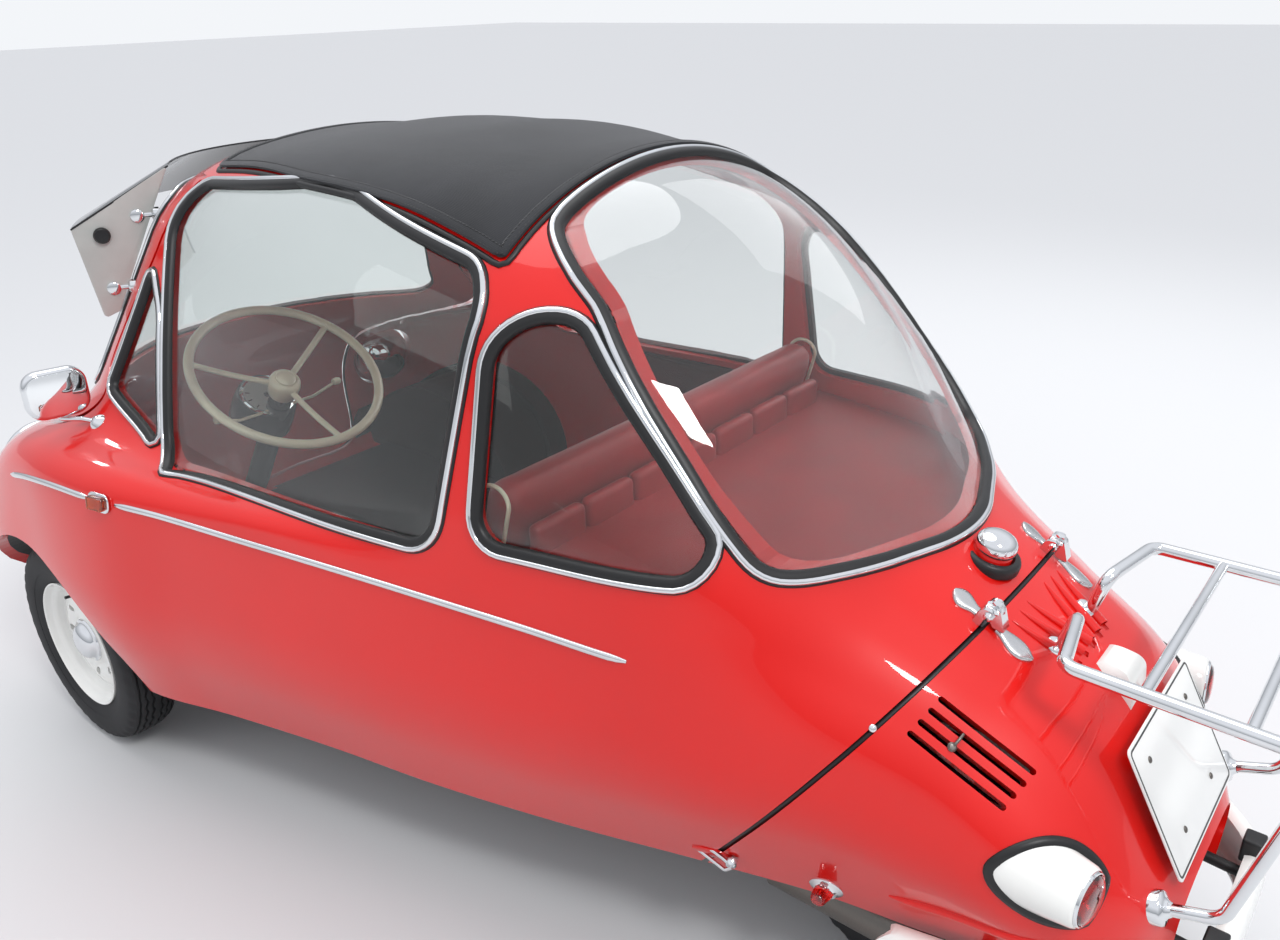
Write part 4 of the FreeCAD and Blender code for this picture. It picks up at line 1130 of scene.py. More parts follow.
class BUBBLECAR_OT_glass(bpy.types.Operator):
    """Panes and bubble with their rubber and bright mouldings"""
    bl_idname = "bubblecar.glass"
    bl_label = "Glass"

    def execute(self, context):
        layer = solid_skin("glass_layer", GLASS_INSET, GLASS_THICK)
        for side, sign in SIDES:
            low, high = (0, 900) if sign > 0 else (-900, 0)
            for name, corners in (("side_window", SIDE_WINDOW), ("quarter_window", QUARTER_WINDOW),
                                  ("rear_side_window", REAR_SIDE_WINDOW)):
                pane(layer, name + "_pane_" + side, [prism(corners, "side", low, high)], "clear_glass",
                     "body", name + "_" + side)
                trim(name + "_trim_" + side, side_path(corners, sign), "body")
        pane(layer, "windscreen_pane", [fan_wedge(SCREEN)], "clear_glass", "door", "windscreen")
        trim("windscreen_trim", fan_path(SCREEN), "door")
        pane(layer, "bubble_pane", [prism(BUBBLE, "side", -900, 900)], "clear_acrylic", "body",
             "rear_bubble")
        trim("bubble_trim", bubble_path(), "body")
        bpy.data.objects.remove(layer)
        return {"FINISHED"}


def bubble_path(gap=12.0):
    """Closed outline of the bubble: across the roof, down one side, across the deck and up the other."""
    front = BUBBLE[0][0]
    low, high = BUBBLE[3], BUBBLE[4]
    left = []
    x = 0.0
    while on_top(x, front)[0].z > BUBBLE[1][1] + 24:
        left.append(on_top(x, front)[0])
        x += gap
    for p in spaced(outline(BUBBLE), gap):
        if p.x < 2100 and p.y < BUBBLE[1][1] + 22:
            hit = on_side(p.x, p.y)[0]
            if hit.x > 190:
                left.append(hit)
    x = left[-1].x - gap
    while x > 0:
        near, far = 1990.0, 2200.0
        for _ in range(16):
            y = (near + far) / 2
            above = on_top(x, y)[0].z > low[1] + (y - low[0]) * (high[1] - low[1]) / (high[0] - low[0])
            near, far = (y, far) if above else (near, y)
        left.append(on_top(x, near)[0])
        x -= gap
    right = [Vector((-p.x, p.y, p.z)) for p in reversed(left) if p.x > 1]
    return [settled(p) for p in spaced(left + right, gap)]


class BUBBLECAR_OT_seals(bpy.types.Operator):
    """Rubber in the gaps round the door and along the tail seam"""
    bl_idname = "bubblecar.seals"
    bl_label = "Seals"

    def execute(self, context):
        door = [(p - n * 14, n) for p, n in fan_path(DOOR, PANEL_GAP / 2)]
        round_bar = oval(6.5, 6.5, 10)
        piece(sweep(door, round_bar, True), "door_seal", "seal_rubber", "body", sharp=80)
        seam = [settled(p) for p in spaced([on_seam(d, -4.9)[0] for d in range(1, 180, 2)], 10, False)]
        piece(sweep([(p - n * 10, n) for p, n in seam], round_bar), "cover_seal", "seal_rubber", "body",
              sharp=80)
        return {"FINISHED"}


# The side strip's line: (y, z)
STRIP_LINE = [(373, 659), (470, 680), (554, 691), (736, 696), (1108, 691), (1436, 691), (1706, 687),
              (1840, 683)]


class BUBBLECAR_OT_strips(bpy.types.Operator):
    """Bright strip along each side, broken by the indicator"""
    bl_idname = "bubblecar.strips"
    bl_label = "Side strips"

    def execute(self, context):
        width = sizes().strip * 1000
        section = [(a * width, b * width) for a, b in STRIP_SECTION]
        line = spaced([(p.x, p.y) for p in smooth_line([(y, z, 0) for y, z in STRIP_LINE], 8)], 14, False)
        for name, low, high in (("front_strip", 0, 706), ("side_strip", 766, 3000)):
            path = [on_side(p.x, p.y) for p in line if low < p.x < high]

            def bar():
                return sweep(path, section, taper=2)
            pair(bar, name, "chrome_plate", "body", name, sharp=60)
        return {"FINISHED"}


# Places of the roof's bows along the car
CANVAS_BOWS = (701, 985, 1268, 1551)


class BUBBLECAR_OT_canvas(bpy.types.Operator):
    """Roof cloth: one sheet stretched over the roof's opening and its bows, with a sewn hem and seams"""
    bl_idname = "bubblecar.canvas"
    bl_label = "Roof cloth"

    def execute(self, context):
        sag = sizes().sag
        cloth = solid_skin("roof_cloth", -7.0, 2.5)
        carved(cloth, [], [prism(CANVAS, "plan", 1150, 1500)])
        for vert in cloth.data.vertices:
            x, y = vert.co.x * 1000, vert.co.y * 1000 + MIDDLE_Y
            across = max(0.0, 1 - (abs(x) / (292 + (y - 701) * 0.085)) ** 4)
            for low, high in zip(CANVAS_BOWS, CANVAS_BOWS[1:]):
                if low < y < high:
                    vert.co.z -= sag * sin(pi * (y - low) / (high - low)) ** 2 * across
        skin_shading(cloth)
        dress(cloth, "canvas", "body", ["roof_canvas"])
        hem = [on_top(p.x, p.y) for p in spaced(outline(CANVAS, -9), 12)]
        hem = outwards([(p + n * 7.2, n) for p, n in hem])
        section = [(-9, -1), (-9, 0.8), (-7, 1.8), (6, 2.6), (9, 1.6), (9, -3), (7, -3)]
        band = piece(sweep(hem, section, True), "roof_hem", "canvas", "body", sharp=60)
        stitches = []
        for shift in (-5.5, 4.5):
            line = spaced(outline(CANVAS, -9 + shift), 7)
            for here, there in zip(line, line[1:]):
                one, normal = on_top(here.x, here.y)
                two = on_top(*(here + (there - here) * 0.62).xy)[0]
                stitch = [(one + normal * 9.2, normal), ((one + two) / 2 + normal * 9.9, normal),
                          (two + normal * 9.2, normal)]
                stitches.append(sweep(stitch, [(-0.6, -0.4), (-0.6, 0.3), (0.6, 0.3), (0.6, -0.4)]))
        thread = piece(joined(*stitches), "roof_stitches", "black_plastic", "body")
        edge = outwards([on_top(p.x, p.y) for p in spaced(outline(CANVAS, 5), 12)])
        section = [(-5, -3), (-5, 4), (-2, 6.5), (2, 6.5), (5, 4), (5, -3)]
        piece(sweep([(p - n * 2, n) for p, n in edge], section, True), "roof_bead", "seal_rubber", "body",
              sharp=60)
        return {"FINISHED"}


class BUBBLECAR_OT_louvres(bpy.types.Operator):
    """Raised hoods over the slots of the engine cover, open to the rear, each with a black plate of painted
    shade in its open end
    """
    bl_idname = "bubblecar.louvres"
    bl_label = "Louvres"

    def execute(self, context):
        for side, sign in SIDES:
            hoods, shade_plates = [], []
            for one, two in louvre_lines(sign):
                along = (two - one).normalized()
                length = (two - one).length

                def corner(i, j):
                    t = i / 12
                    outer = j < 13
                    turn = radians(-105 + 210 * (j if outer else 25 - j) / 12)
                    radius = 1.2 + 8.3 * sin(t * pi / 2) ** 0.8 - (0 if outer else 1.4 * min(1, t * 3))
                    place, normal = settled(one + along * (length * t))
                    across = along.cross(normal).normalized()
                    rise = cos(turn) * radius * 0.95 - 0.3
                    return place + across * (sin(turn) * radius) + normal * rise
                hoods.append(placed_grid(12, 26, corner, False, True, cap=True))
                # a thin black plate across the hood's open rear end: painted shade standing for the dark slot
                # under the hood
                tip, normal = settled(two - along * 3)
                across = along.cross(normal).normalized()
                arc = [radians(-95 + 190 * k / 12) for k in range(13)]
                rim = [tip + across * (sin(a) * 7.6) + normal * (cos(a) * 7.4) for a in arc]
                shade_plates.append(slab(rim, 1, along))
            piece(joined(*hoods), "louvres_" + side, "red_enamel", "cover", sharp=50)
            piece(joined(*shade_plates), "louvre_shade_plates_" + side, "black_plastic", "cover")
        return {"FINISHED"}


class BUBBLECAR_OT_hinges(bpy.types.Operator):
    """Two bladed hinges of the engine cover with their pins"""
    bl_idname = "bubblecar.hinges"
    bl_label = "Cover hinges"

    def execute(self, context):
        y, z = COVER_HINGE
        for side, sign in SIDES:
            x = 126 * sign
            lugs = [prism([(y - 24, 724, 2), (y - 6, 724, 2), (y + 11, z + 10, 10), (y - 11, z + 10, 10)],
                          "side", low, low + 9) for low in (x - 20, x + 11)]
            lugs.append(lathe([(0, -24), (5, -23.5), (7, -21), (7, 21), (5, 23.5), (0, 24)], (x, y, z),
                              (1, 0, 0), 28))
            piece(joined(*lugs), "hinge_lugs_" + side, "chrome_plate", "body")
            eye = prism([(y + 4, 722, 2), (y + 22, 718, 2), (y + 12, z + 12, 12), (y - 12, z + 12, 12)],
                        "side", x - 10, x + 10)
            top, lean = (x, y + 1, z + 1), (0, 0.3, 1)
            dome = lathe([(0, 0), (12, 0), (14, 4), (13, 8), (9, 10), (0, 10)], top, lean, 40)
            nut = lathe([(0, 10), (7.5, 10), (7.5, 14), (6, 15.5), (0, 16)], top, lean, 6)
            piece(joined(eye, dome, nut), "hinge_eye_" + side, "chrome_plate", "cover")
            widths = [8, 8.5, 9.5, 11.5, 13.5, 15, 16, 16, 15, 13, 9, 3]
            for name, body, way, start, length in (("front", "body", -1, -29, 45),
                                                   ("rear", "cover", 1, 12, 62)):
                blade = leaf((x, y + start, 722), (0.05 * sign * way, way, -0.25 * way), widths, length, 6)
                piece(blade, "hinge_blade_%s_%s" % (name, side), "polished_aluminium", body, sharp=60)
        return {"FINISHED"}


class BUBBLECAR_OT_latch(bpy.types.Operator):
    """Toggle latches of the engine cover at the sills, and the studs of its seam"""
    bl_idname = "bubblecar.latch"
    bl_label = "Cover latches"

    def execute(self, context):
        for side, sign in SIDES:
            place, normal = on_side(1921, 302, sign)
            base = leaf(place + Vector((0, -34, 12)), (0, 0.96, -0.22), [4, 11, 14, 15, 14, 11, 4], 70, 3)
            piece(base, "latch_base_" + side, "red_enamel", "body", sharp=60)
            lift = normal * 7
            loop = [place + lift + Vector((0, a, b)) for a, b in ((-36, 24), (-30, 4), (26, -10), (40, 4))]
            other = [place + lift + Vector((0, a, b)) for a, b in ((-30, 32), (-14, 20), (22, 12), (40, 6))]
            knob = [(9, -8), (9, 1), (7, 4), (0, 5)]
            ends = [lathe(knob, place + lift * 0.6 + Vector((0, a, b)), normal, 24)
                    for a, b in ((-33, 27), (36, 4))]
            piece(joined(tube(loop, 3.2, 8, 12), tube(other, 3.2, 8, 12), *ends), "latch_" + side,
                  "chrome_plate", "body")
            place, normal = on_seam(52 if sign > 0 else 128, -10)
            piece(screw(place, normal, 6), "seam_stud_" + side, "chrome_plate", "body")
        return {"FINISHED"}


class BUBBLECAR_OT_clip(bpy.types.Operator):
    """Small spring clip over the third slot of the left flank"""
    bl_idname = "bubblecar.clip"
    bl_label = "Vent clip"

    def execute(self, context):
        place, normal = settled(Vector((253, 2262, 641)) + SLOT_STEP * 1.5)
        along = SLOT_STEP.normalized()
        low, high = normal * 0.5, normal * 4
        wire = tube([place - along * 13 + low, place - along * 5 + high, place + along * 5 + high,
                     place + along * 13 + low], 2.2, 4, 12)
        stud = lathe([(0, -1), (6, -1), (6.5, 2), (4, 4.5), (0, 5)], place + along * 10, normal, 24)
        piece(joined(wire, stud), "vent_clip", "bare_steel", "cover")
        return {"FINISHED"}


class BUBBLECAR_OT_tail_lamps(bpy.types.Operator):
    """White pods with red lenses, and the reflectors on the sills"""
    bl_idname = "bubblecar.tail_lamps"
    bl_label = "Tail lamps"

    def execute(self, context):
        start, end = Vector((268, 2300, 473)), Vector((291, 2451, 478))
        way = (end - start).normalized()
        pod = [(40, -40), (52, -36), (54, 0), (54, 40), (52, 80), (48, 115), (44.5, 138), (43, 147),
               (41, 151), (39, 152), (37.8, 150.5), (37.5, 142), (0, 142)]
        pair(lambda: lathe(pod, start, way, 64), "tail_pod", "white_enamel", "cover", "tail_lamp", sharp=50)
        line = outwards(meeting(end, way, 54))
        gasket = [(-8, -4), (-8, 3), (-2, 5), (5, 3), (6, 0), (6, -4)]
        pair(lambda: sweep(line, gasket, True), "tail_gasket", "seal_rubber", "cover", sharp=60)
        rim = [(37.4, 146), (39, 150), (39.5, 153), (38, 155.5), (36, 156), (34.5, 154), (34.5, 146)]
        pair(lambda: lathe(rim + rim[:1], start, way, 64), "tail_rim", "chrome_plate", "cover")
        lens = [(34.4, 147), (34.4, 156), (31, 160), (24, 162.5), (13, 164), (0, 164.5), (0, 161),
                (13, 160.5), (24, 159), (30, 156), (31, 147)]
        pair(lambda: lathe(lens + lens[:1], start, way, 64), "tail_lens", "red_lens", "cover", "tail_lens")
        mirror = [(0, 145), (30.5, 145), (30.5, 146), (18, 148), (8, 150), (0, 152)]
        pair(lambda: lathe(mirror, start, way, 40), "tail_reflector", "chrome_plate", "cover")
        aim = Vector((60, 6, 8)).normalized()
        place, normal = skin().cast(Vector((345, 2098, 300)) + aim * 60, -aim)
        dish = [(0, -8), (26, -8), (27, -2), (26.5, 1.5), (23, 4), (19, 6), (17, 9), (15.5, 9), (15, 6),
                (0, 6)]
        pair(lambda: lathe(dish, place, normal, 48), "reflector_dish", "chrome_plate", "cover")
        rows = [(6, 14, 15), (20, 12.2, 13.6), (33, 10, 11.6), (35.5, 8, 9), (36, 0.5, 0.6)]
        pair(lambda: ribbed(rows, 18, place, aim), "reflector_cone", "red_lens", "cover", "reflector",
             sharp=30)
        return {"FINISHED"}


# Middle of the number plate, the way it faces and its upward way
PLATE_PLACE = Vector((0, 2482, 518))
PLATE_FACE = Vector((0, 175, 98)).normalized()
PLATE_UP = Vector((0, -98, 175)).normalized()


class BUBBLECAR_OT_plate(bpy.types.Operator):
    """Blank number plate on four posts, and the hood of its lamp"""
    bl_idname = "bubblecar.plate"
    bl_label = "Number plate"

    def execute(self, context):
        shape = outline([(-140, -100, 9), (140, -100, 9), (140, 100, 9), (-140, 100, 9)])
        piece(plate(shape, 3, PLATE_PLACE - PLATE_FACE * 1.5, PLATE_FACE, 0.7), "plate_sheet",
              "white_plate", "cover", ["number_plate"])
        line = [(PLATE_PLACE + Vector((-p.x, 0, 0)) + PLATE_UP * p.y + PLATE_FACE * 1.5, PLATE_FACE)
                for p in outline([(-135, -95, 7), (135, -95, 7), (135, 95, 7), (-135, 95, 7)])]
        piece(sweep(line, [(-1.5, -0.5), (-1.5, 0.3), (1.5, 0.3), (1.5, -0.5)], True), "plate_border",
              "black_plastic", "cover")
        posts, heads = [], []
        for x, z in ((-90, 60), (90, 60), (-70, -60), (70, -60)):
            spot = PLATE_PLACE + PLATE_UP * z + Vector((x, 0, 0))
            posts.append(tube([spot - PLATE_FACE * 1.8, spot - PLATE_FACE * 56], 9, sides=24))
            heads.append(screw(spot + PLATE_FACE * 1.4, PLATE_FACE, 5))
        piece(joined(*posts), "plate_posts", "red_enamel", "cover")
        piece(joined(*heads), "plate_screws", "bare_steel", "cover")
        hood = prism([(2340, 590, 4), (2346, 666, 30), (2402, 650, 26), (2412, 575, 6)], "side", -40, 40)
        width = prism([(-36, 560, 2), (36, 560, 2), (36, 668, 34), (-36, 668, 34)], "front", 2300, 2450)
        hood = cut_mesh(hood, [], [width])
        piece(rolled(hood, 4, 4, 50), "plate_lamp_hood", "white_enamel", "cover", ["plate_lamp"])
        return {"FINISHED"}


# The bumper's middle line round the tail, and its pressed section
BUMPER_LINE = [(322, 2190, 245), (289, 2470, 273), (134, 2592, 285), (-134, 2592, 285), (-289, 2470, 273),
               (-322, 2190, 245)]
BUMPER_SECTION = [(-14, -44), (-6, -48.5), (3, -50), (10, -46), (15, -37), (18.5, -24), (20, -8), (20, 10),
                  (18.5, 25), (15, 37), (10, 44), (3, 46.5), (-6, 45.5), (-14, 42), (-14, 37), (0, 41),
                  (8, 37), (12, 26), (14, 10), (14, -10), (12, -27), (8, -38), (0, -44.5), (-14, -39)]


class BUBBLECAR_OT_bumper(bpy.types.Operator):
    """White pressed channel round the tail on its brackets, and the swage above it"""
    bl_idname = "bubblecar.bumper"
    bl_label = "Bumper"

    def execute(self, context):
        line = [(p, UP) for p in spaced(bent(BUMPER_LINE, 110), 16, False)]
        rounded = prism([(2184, 188, 50), (2184, 292, 50), (2700, 345, 5), (2700, 190, 5)], "side", -900, 900)
        channel = cut_mesh(sweep(line, BUMPER_SECTION), [], [rounded])
        piece(channel, "bumper_channel", "white_enamel", "cover", ["rear_bumper"], sharp=42)
        arms = []
        for sign in (1, -1):
            for one, two in (((100, 2500, 300), (100, 2606, 292)), ((262, 2330, 285), (318, 2330, 259))):
                arms.append(tube([(one[0] * sign, *one[1:]), (two[0] * sign, *two[1:])], 9, sides=20))
        piece(joined(*arms), "bumper_arms", "chassis_paint", "cover")
        pads = [block((34, 30, 42), (sign * 118, 2585, 333), 4) for sign in (1, -1)]
        piece(joined(*pads), "bumper_pads", "seal_rubber", "cover")
        swage = []
        for k in range(34):
            t = k / 33
            swage.append(on_side(2196 + 262 * t, 344 + 34 * sin(t * 1.2) + 14 * t * t))
        section = [(-9, -2), (-7, 2.5), (-3, 5.5), (1, 6.5), (5, 5), (8, 1), (9, -2)]
        pair(lambda: sweep(swage, section, taper=6), "swage", "red_enamel", "cover", sharp=60)
        return {"FINISHED"}


# Height of the rack's top tubes
RACK_Z = 742.0


class BUBBLECAR_OT_rack(bpy.types.Operator):
    """Chromed tube rack over the tail"""
    bl_idname = "bubblecar.rack"
    bl_label = "Luggage rack"

    def execute(self, context):
        tubes = []
        for sign in (1, -1):
            loop = [(64 * sign, 2300, 652), (64 * sign, 2325, RACK_Z), (200 * sign, 2350, RACK_Z),
                    (210 * sign, 2676, RACK_Z), (0, 2676, RACK_Z)]
            tubes.append(tube(loop, 10, 22, 24))
            tubes.append(tube([(180 * sign, 2500, 408), (182 * sign, 2590, 442),
                               (206 * sign, 2652, RACK_Z - 2)], 9, 34, 24))
            foot = Vector((180 * sign, 2500, 408))
            way = Vector((0, 27, 10)).normalized()
            tubes.append(lathe([(0, 8), (24, 8), (24, 22), (22, 25), (16, 27), (12, 30), (9, 36), (9, 20),
                                (0, 20)], foot, way, 40))
            tubes.append(lathe([(0, -4), (17, -4), (17, 2), (14, 5), (10, 7), (0, 7)],
                               on_top(64 * sign, 2302)[0], on_top(64 * sign, 2302)[1], 32))
        for y in (2450, 2570):
            tubes.append(tube([(-204, y, RACK_Z), (204, y, RACK_Z)], 8, sides=20))
        piece(joined(*tubes), "rack_tubes", "chrome_plate", "cover", ["luggage_rack"], sharp=50)
        return {"FINISHED"}


class BUBBLECAR_OT_filler(bpy.types.Operator):
    """Chromed filler cap on its collar and rubber ring"""
    bl_idname = "bubblecar.filler"
    bl_label = "Filler cap"

    def execute(self, context):
        way = Vector((0, 12, 48)).normalized()
        place = skin().cast(Vector((18, 2184, 788)) + way * 50, -way)[0]
        lid = [(0, 12), (27, 12), (30, 16), (30.5, 18), (30.5, 27), (29, 31), (25, 36), (18, 40), (9, 42),
               (0, 42.5)]
        piece(lathe(lid, place, way, 64), "filler_lid", "chrome_plate", "body", ["filler_cap"])
        neck = [(0, -8), (29, -8), (29, 12), (27, 15), (0, 15)]
        piece(lathe(neck, place, way, 48), "filler_neck", "red_enamel", "body")
        ring = [(30, -10), (44, -10), (44, 1), (42, 6), (38, 8.5), (33, 8), (30, 4)]
        piece(lathe(ring + ring[:1], place, way, 48), "filler_ring", "seal_rubber", "body")
        return {"FINISHED"}


def reach_at(z):
    """Reach of the windscreen from the upright axis, by height."""
    return 578 + (z - 768) * (336 - 578) / (1246 - 768)


def on_turn(reach, angle, z):
    """Point at a reach from the upright axis; the angle is in degrees from straight ahead."""
    turn = radians(angle)
    return Vector((reach * sin(turn), FAN_Y - reach * cos(turn), z))


class BUBBLECAR_OT_visor(bpy.types.Operator):
    """Glossy peak over the windscreen between two cheeks on stays"""
    bl_idname = "bubblecar.visor"
    bl_label = "Sun visor"

    def execute(self, context):
        ring = [(346, 1240), (400, 1211), (470, 1173), (540, 1135), (545, 1132.5), (547, 1134),
                (542, 1138.5), (470, 1177), (400, 1215), (347, 1243.5)]

        def corner(i, j):
            return on_turn(ring[j][0], -VISOR_ANGLE + 2 * VISOR_ANGLE * i / 48, ring[j][1])
        piece(placed_grid(48, len(ring), corner, False, True, cap=True), "visor_peak", "black_enamel",
              "door", ["sun_visor"], 50)
        front = [(reach_at(z) + 10, z, 12) for z in (1225, 1130, 1040, 962)]
        shape = outline(front + [(520, 950, 8), (546, 1134, 6), (347, 1243, 4)])
        cheeks, stays, knobs = [], [], []
        for sign in (1, -1):
            angle = (VISOR_ANGLE - 0.5) * sign
            turn = radians(angle)
            aside = Vector((cos(turn), sin(turn), 0)) * sign
            cheeks.append(slab([on_turn(p.x, angle, p.y) for p in shape], 4, aside, 1.2))
            knobs.append(lathe([(0, -5), (15, -5), (16, 0), (16, 7), (13, 11), (0, 12)],
                               on_turn(492, angle, 1118) + aside * 5, aside, 32))
            for z in (1010, 1150):
                inner, outer = on_turn(reach_at(z) - 8, angle, z), on_turn(reach_at(z) + 36, angle, z)
                stays.append(tube([inner, outer], 6, sides=20))
                stays.append(lathe([(0, -5), (13, -5), (13, 7), (10, 9), (0, 9)], outer, aside, 28))
                stays.append(lathe([(0, -6), (14, -6), (14, 5), (10, 9), (0, 9)],
                                   on_turn(reach_at(z), angle, z), outer - inner, 28))
        piece(joined(*cheeks), "visor_cheeks", "grey_plastic", "door")
        piece(joined(*stays), "visor_stays", "chrome_plate", "door")
        piece(joined(*knobs), "visor_knobs", "black_plastic", "door")
        return {"FINISHED"}


class BUBBLECAR_OT_headlamps(bpy.types.Operator):
    """Chromed bowls, reflectors, bulbs and fluted lenses"""
    bl_idname = "bubblecar.headlamps"
    bl_label = "Headlamps"

    def execute(self, context):
        bowl = [(0, -92), (40, -92), (84, -40), (93.5, 2), (94.5, 6), (94, 11), (91, 18), (87, 22),
                (81, 22.5), (78.5, 20), (78, 14), (78, 2), (70, -38), (52, -66), (30, -80), (0, -82)]
        pair(lambda: lathe(bowl, HEADLAMP, LAMP_WAY, 72), "lamp_bowl", "chrome_plate", "body", "headlamp",
             sharp=50)

        def lens():
            outer = [(77.5, 6), (77.5, 14), (73, 20), (62, 28), (50, 34), (34, 39), (17, 41.5), (0, 42.3)]
            inner = [(0, 38.5), (17, 37.7), (34, 35), (50, 30), (62, 24), (72, 16), (74, 11), (74, 6)]
            profile = outer + inner + outer[:1]
            bm = lathe(profile, (0, 0, 0), (0, 0, 1), 120, (1, 0, 0))
            for vert in bm.verts:
                reach = hypot(vert.co.x, vert.co.y)
                if reach < 73 and vert.co.z < 38.6:
                    vert.co.z += 1.3 * cos(vert.co.x * tau / 11)
            bmesh.ops.transform(bm, matrix=basis(HEADLAMP, LAMP_WAY), verts=bm.verts)
            return bm
        pair(lens, "lamp_lens", "clear_glass", "body", "headlamp_lens", sharp=60)
        bulb = [(0, -82), (14, -82), (14, -60), (10, -58), (10, -52), (13, -44), (14, -34), (11, -26),
                (0, -22)]
        pair(lambda: lathe(bulb, HEADLAMP, LAMP_WAY, 32), "lamp_bulb", "clear_acrylic", "body")
        return {"FINISHED"}


class BUBBLECAR_OT_indicators(bpy.types.Operator):
    """Ribbed amber lamps on chromed bases at the ends of the side strips"""
    bl_idname = "bubblecar.indicators"
    bl_label = "Indicators"

    def execute(self, context):
        place, normal = on_side(736, 694)

        def box(length, height, depth, bevel, radius):
            shape = outline([(-length, -height, radius), (length, -height, radius),
                             (length, height, radius), (-length, height, radius)], 0, 4)
            return plate(shape, depth, place, normal, bevel)

        def ribs():
            bars = [box(22, 14, 15, 4, 9)]
            turn = basis(place, normal)
            for k in range(6):
                u = -16.5 + 6.6 * k
                bars.append(tube([turn @ Vector((u, -12, 14)), turn @ Vector((u, 12, 14))], 2.9, sides=10))
            return joined(*bars)
        pair(lambda: box(28, 19, 5, 2, 14), "indicator_base", "chrome_plate", "body")
        pair(ribs, "indicator_lens", "amber_lens", "body", "indicator", sharp=40)
        return {"FINISHED"}


class BUBBLECAR_OT_door_fittings(bpy.types.Operator):
    """Door handle, hinge and the round fitting on the wing"""
    bl_idname = "bubblecar.door_fittings"
    bl_label = "Door fittings"

    def execute(self, context):
        handle = [tube([(-300, 30, 520), (-300, -28, 520), (-220, -28, 520), (-220, 30, 520)], 8, 12, 24)]
        for x in (-300, -220):
            place, normal = skin().cast((x, -500, 520), (0, 1, 0))
            handle.append(lathe([(0, -4), (17, -4), (17, 2), (14, 6), (9, 8), (0, 8)], place, normal, 32))
        piece(joined(*handle), "handle_bar", "chrome_plate", "door", ["door_handle"])
        pin = Vector((410, 0, 0))
        lugs = [tube([pin + Vector((0, 0, z)) for z in (340, 450)], 7, sides=24)]
        arms = []
        for low, high, angle, radius, parts in ((341, 353, 34, 13, lugs), (437, 449, 34, 13, lugs),
                                                (356, 434, 25, 14, arms)):
            parts.append(tube([pin + Vector((0, 0, z)) for z in (low, high)], radius, sides=28))
            middle = (low + high) / 2
            foot = on_fan(middle, angle)[0]
            foot.z = low
            side = (foot - pin).cross(UP).normalized() * (radius * 0.7)
            start = pin + Vector((0, 0, low))
            arm = [start - side, foot - side, foot + side, start + side]
            parts.append(slab(arm, high - low, (0, 0, 1), 1.5))
        for z in (450, 337):
            lugs.append(lathe([(0, 0), (10, 0), (10, 3), (6, 6), (0, 7)], pin + Vector((0, 0, z)),
                              (0, 0, 1 if z > 400 else -1), 28))
        piece(joined(*lugs), "door_hinge_lugs", "chrome_plate", "body")
        piece(joined(*arms), "door_hinge_eye", "red_enamel", "door")
        return {"FINISHED"}


class BUBBLECAR_OT_mirror(bpy.types.Operator):
    """Driver's mirror on its stalk"""
    bl_idname = "bubblecar.mirror"
    bl_label = "Mirror"

    def execute(self, context):
        place, normal = skin().cast((748, 540, 830), (-200, 0, -60))
        parts = [tube([place, (576, 516, 780), (602, 470, 778), (602, 472, 800)], 5, 10, 20),
                 lathe([(0, -4), (18, -4), (18, 1), (14, 6), (7, 11), (0, 12)], place, normal, 36)]
        axis = Vector((8, 38, 0)).normalized()
        head = Vector((600, 478, 836))
        shape = outline([(-60, -50, 34), (60, -50, 34), (60, 50, 34), (-60, 50, 34)], 0, 5)
        parts.append(plate(shape, 26, head - axis * 8, axis, 9, segments=5))
        piece(joined(*parts), "mirror_case", "chrome_plate", "body", ["mirror_left"])
        shape = outline([(-52, -42, 28), (52, -42, 28), (52, 42, 28), (-52, 42, 28)], 0, 5)
        piece(plate(shape, 1.2, head + axis * 17.8, axis, 0.5), "mirror_face", "mirror_glass", "body")
        return {"FINISHED"}


# Half a tyre's section, from its middle to the rim: across, radius (0 is a groove's bottom), zigzag, rib
TREAD = [(0, 239.0, 0, 0), (7, 238.9, 2.6, 0), (8, 0, 2.6, 0), (11.6, 0, 2.6, 0), (12.6, 238.6, 2.6, 0),
         (21, 238.0, 2.6, 0), (22, 0, 2.6, 0), (25.6, 0, 2.6, 0), (26.6, 237.0, 2.6, 0),
         (34, 235.6, 0.8, 0), (35, 0, 0.8, 0), (38, 0, 0.8, 0), (39, 234.0, 0.8, 0), (44, 231.6, 0, 0),
         (45, 231.0, 0, 3), (50, 226.5, 0, 3.4), (53.5, 219.5, 0, 2.4), (54.6, 214, 0, 0),
         (55.6, 205, 0, 0), (56, 196, 0, 0), (55.5, 186, 0, 0), (54, 176, 0, 0), (53.6, 175, 0, 0),
         (53.2, 175.5, 0, 0), (51.5, 168, 0, 0), (48.5, 160, 0, 0), (46.5, 154, 0, 0), (45, 150.5, 0, 0),
         (42, 149.3, 0, 0), (36, 149.2, 0, 0)]


def tyre(centre, sign):
    """Cross-ply tyre with zigzag grooves and ribbed shoulders."""
    groove = sizes().groove * 1000
    rows = []
    last = TYRE_RADIUS
    for across, radius, zigzag, rib in TREAD:
        if not radius:
            radius = last - groove
        elif radius > 232:
            last = radius
        rows.append((across, radius, zigzag, rib))
    rows = [(-a, r, -z, b) for a, r, z, b in reversed(rows[1:])] + rows
    count = 42 * 4

    def corner(i, j):
        across, radius, zigzag, rib = rows[j]
        turn = tau * i / count
        shift = abs(zigzag) * (1 - abs((i % 4) - 2))
        reach = radius - (rib if i % 4 in (0, 1) else 0)
        return Vector((centre[0] + (across + shift) * sign, centre[1] + reach * cos(turn),
                       centre[2] + reach * sin(turn)))
    return placed_grid(count, len(rows), corner, True, True)


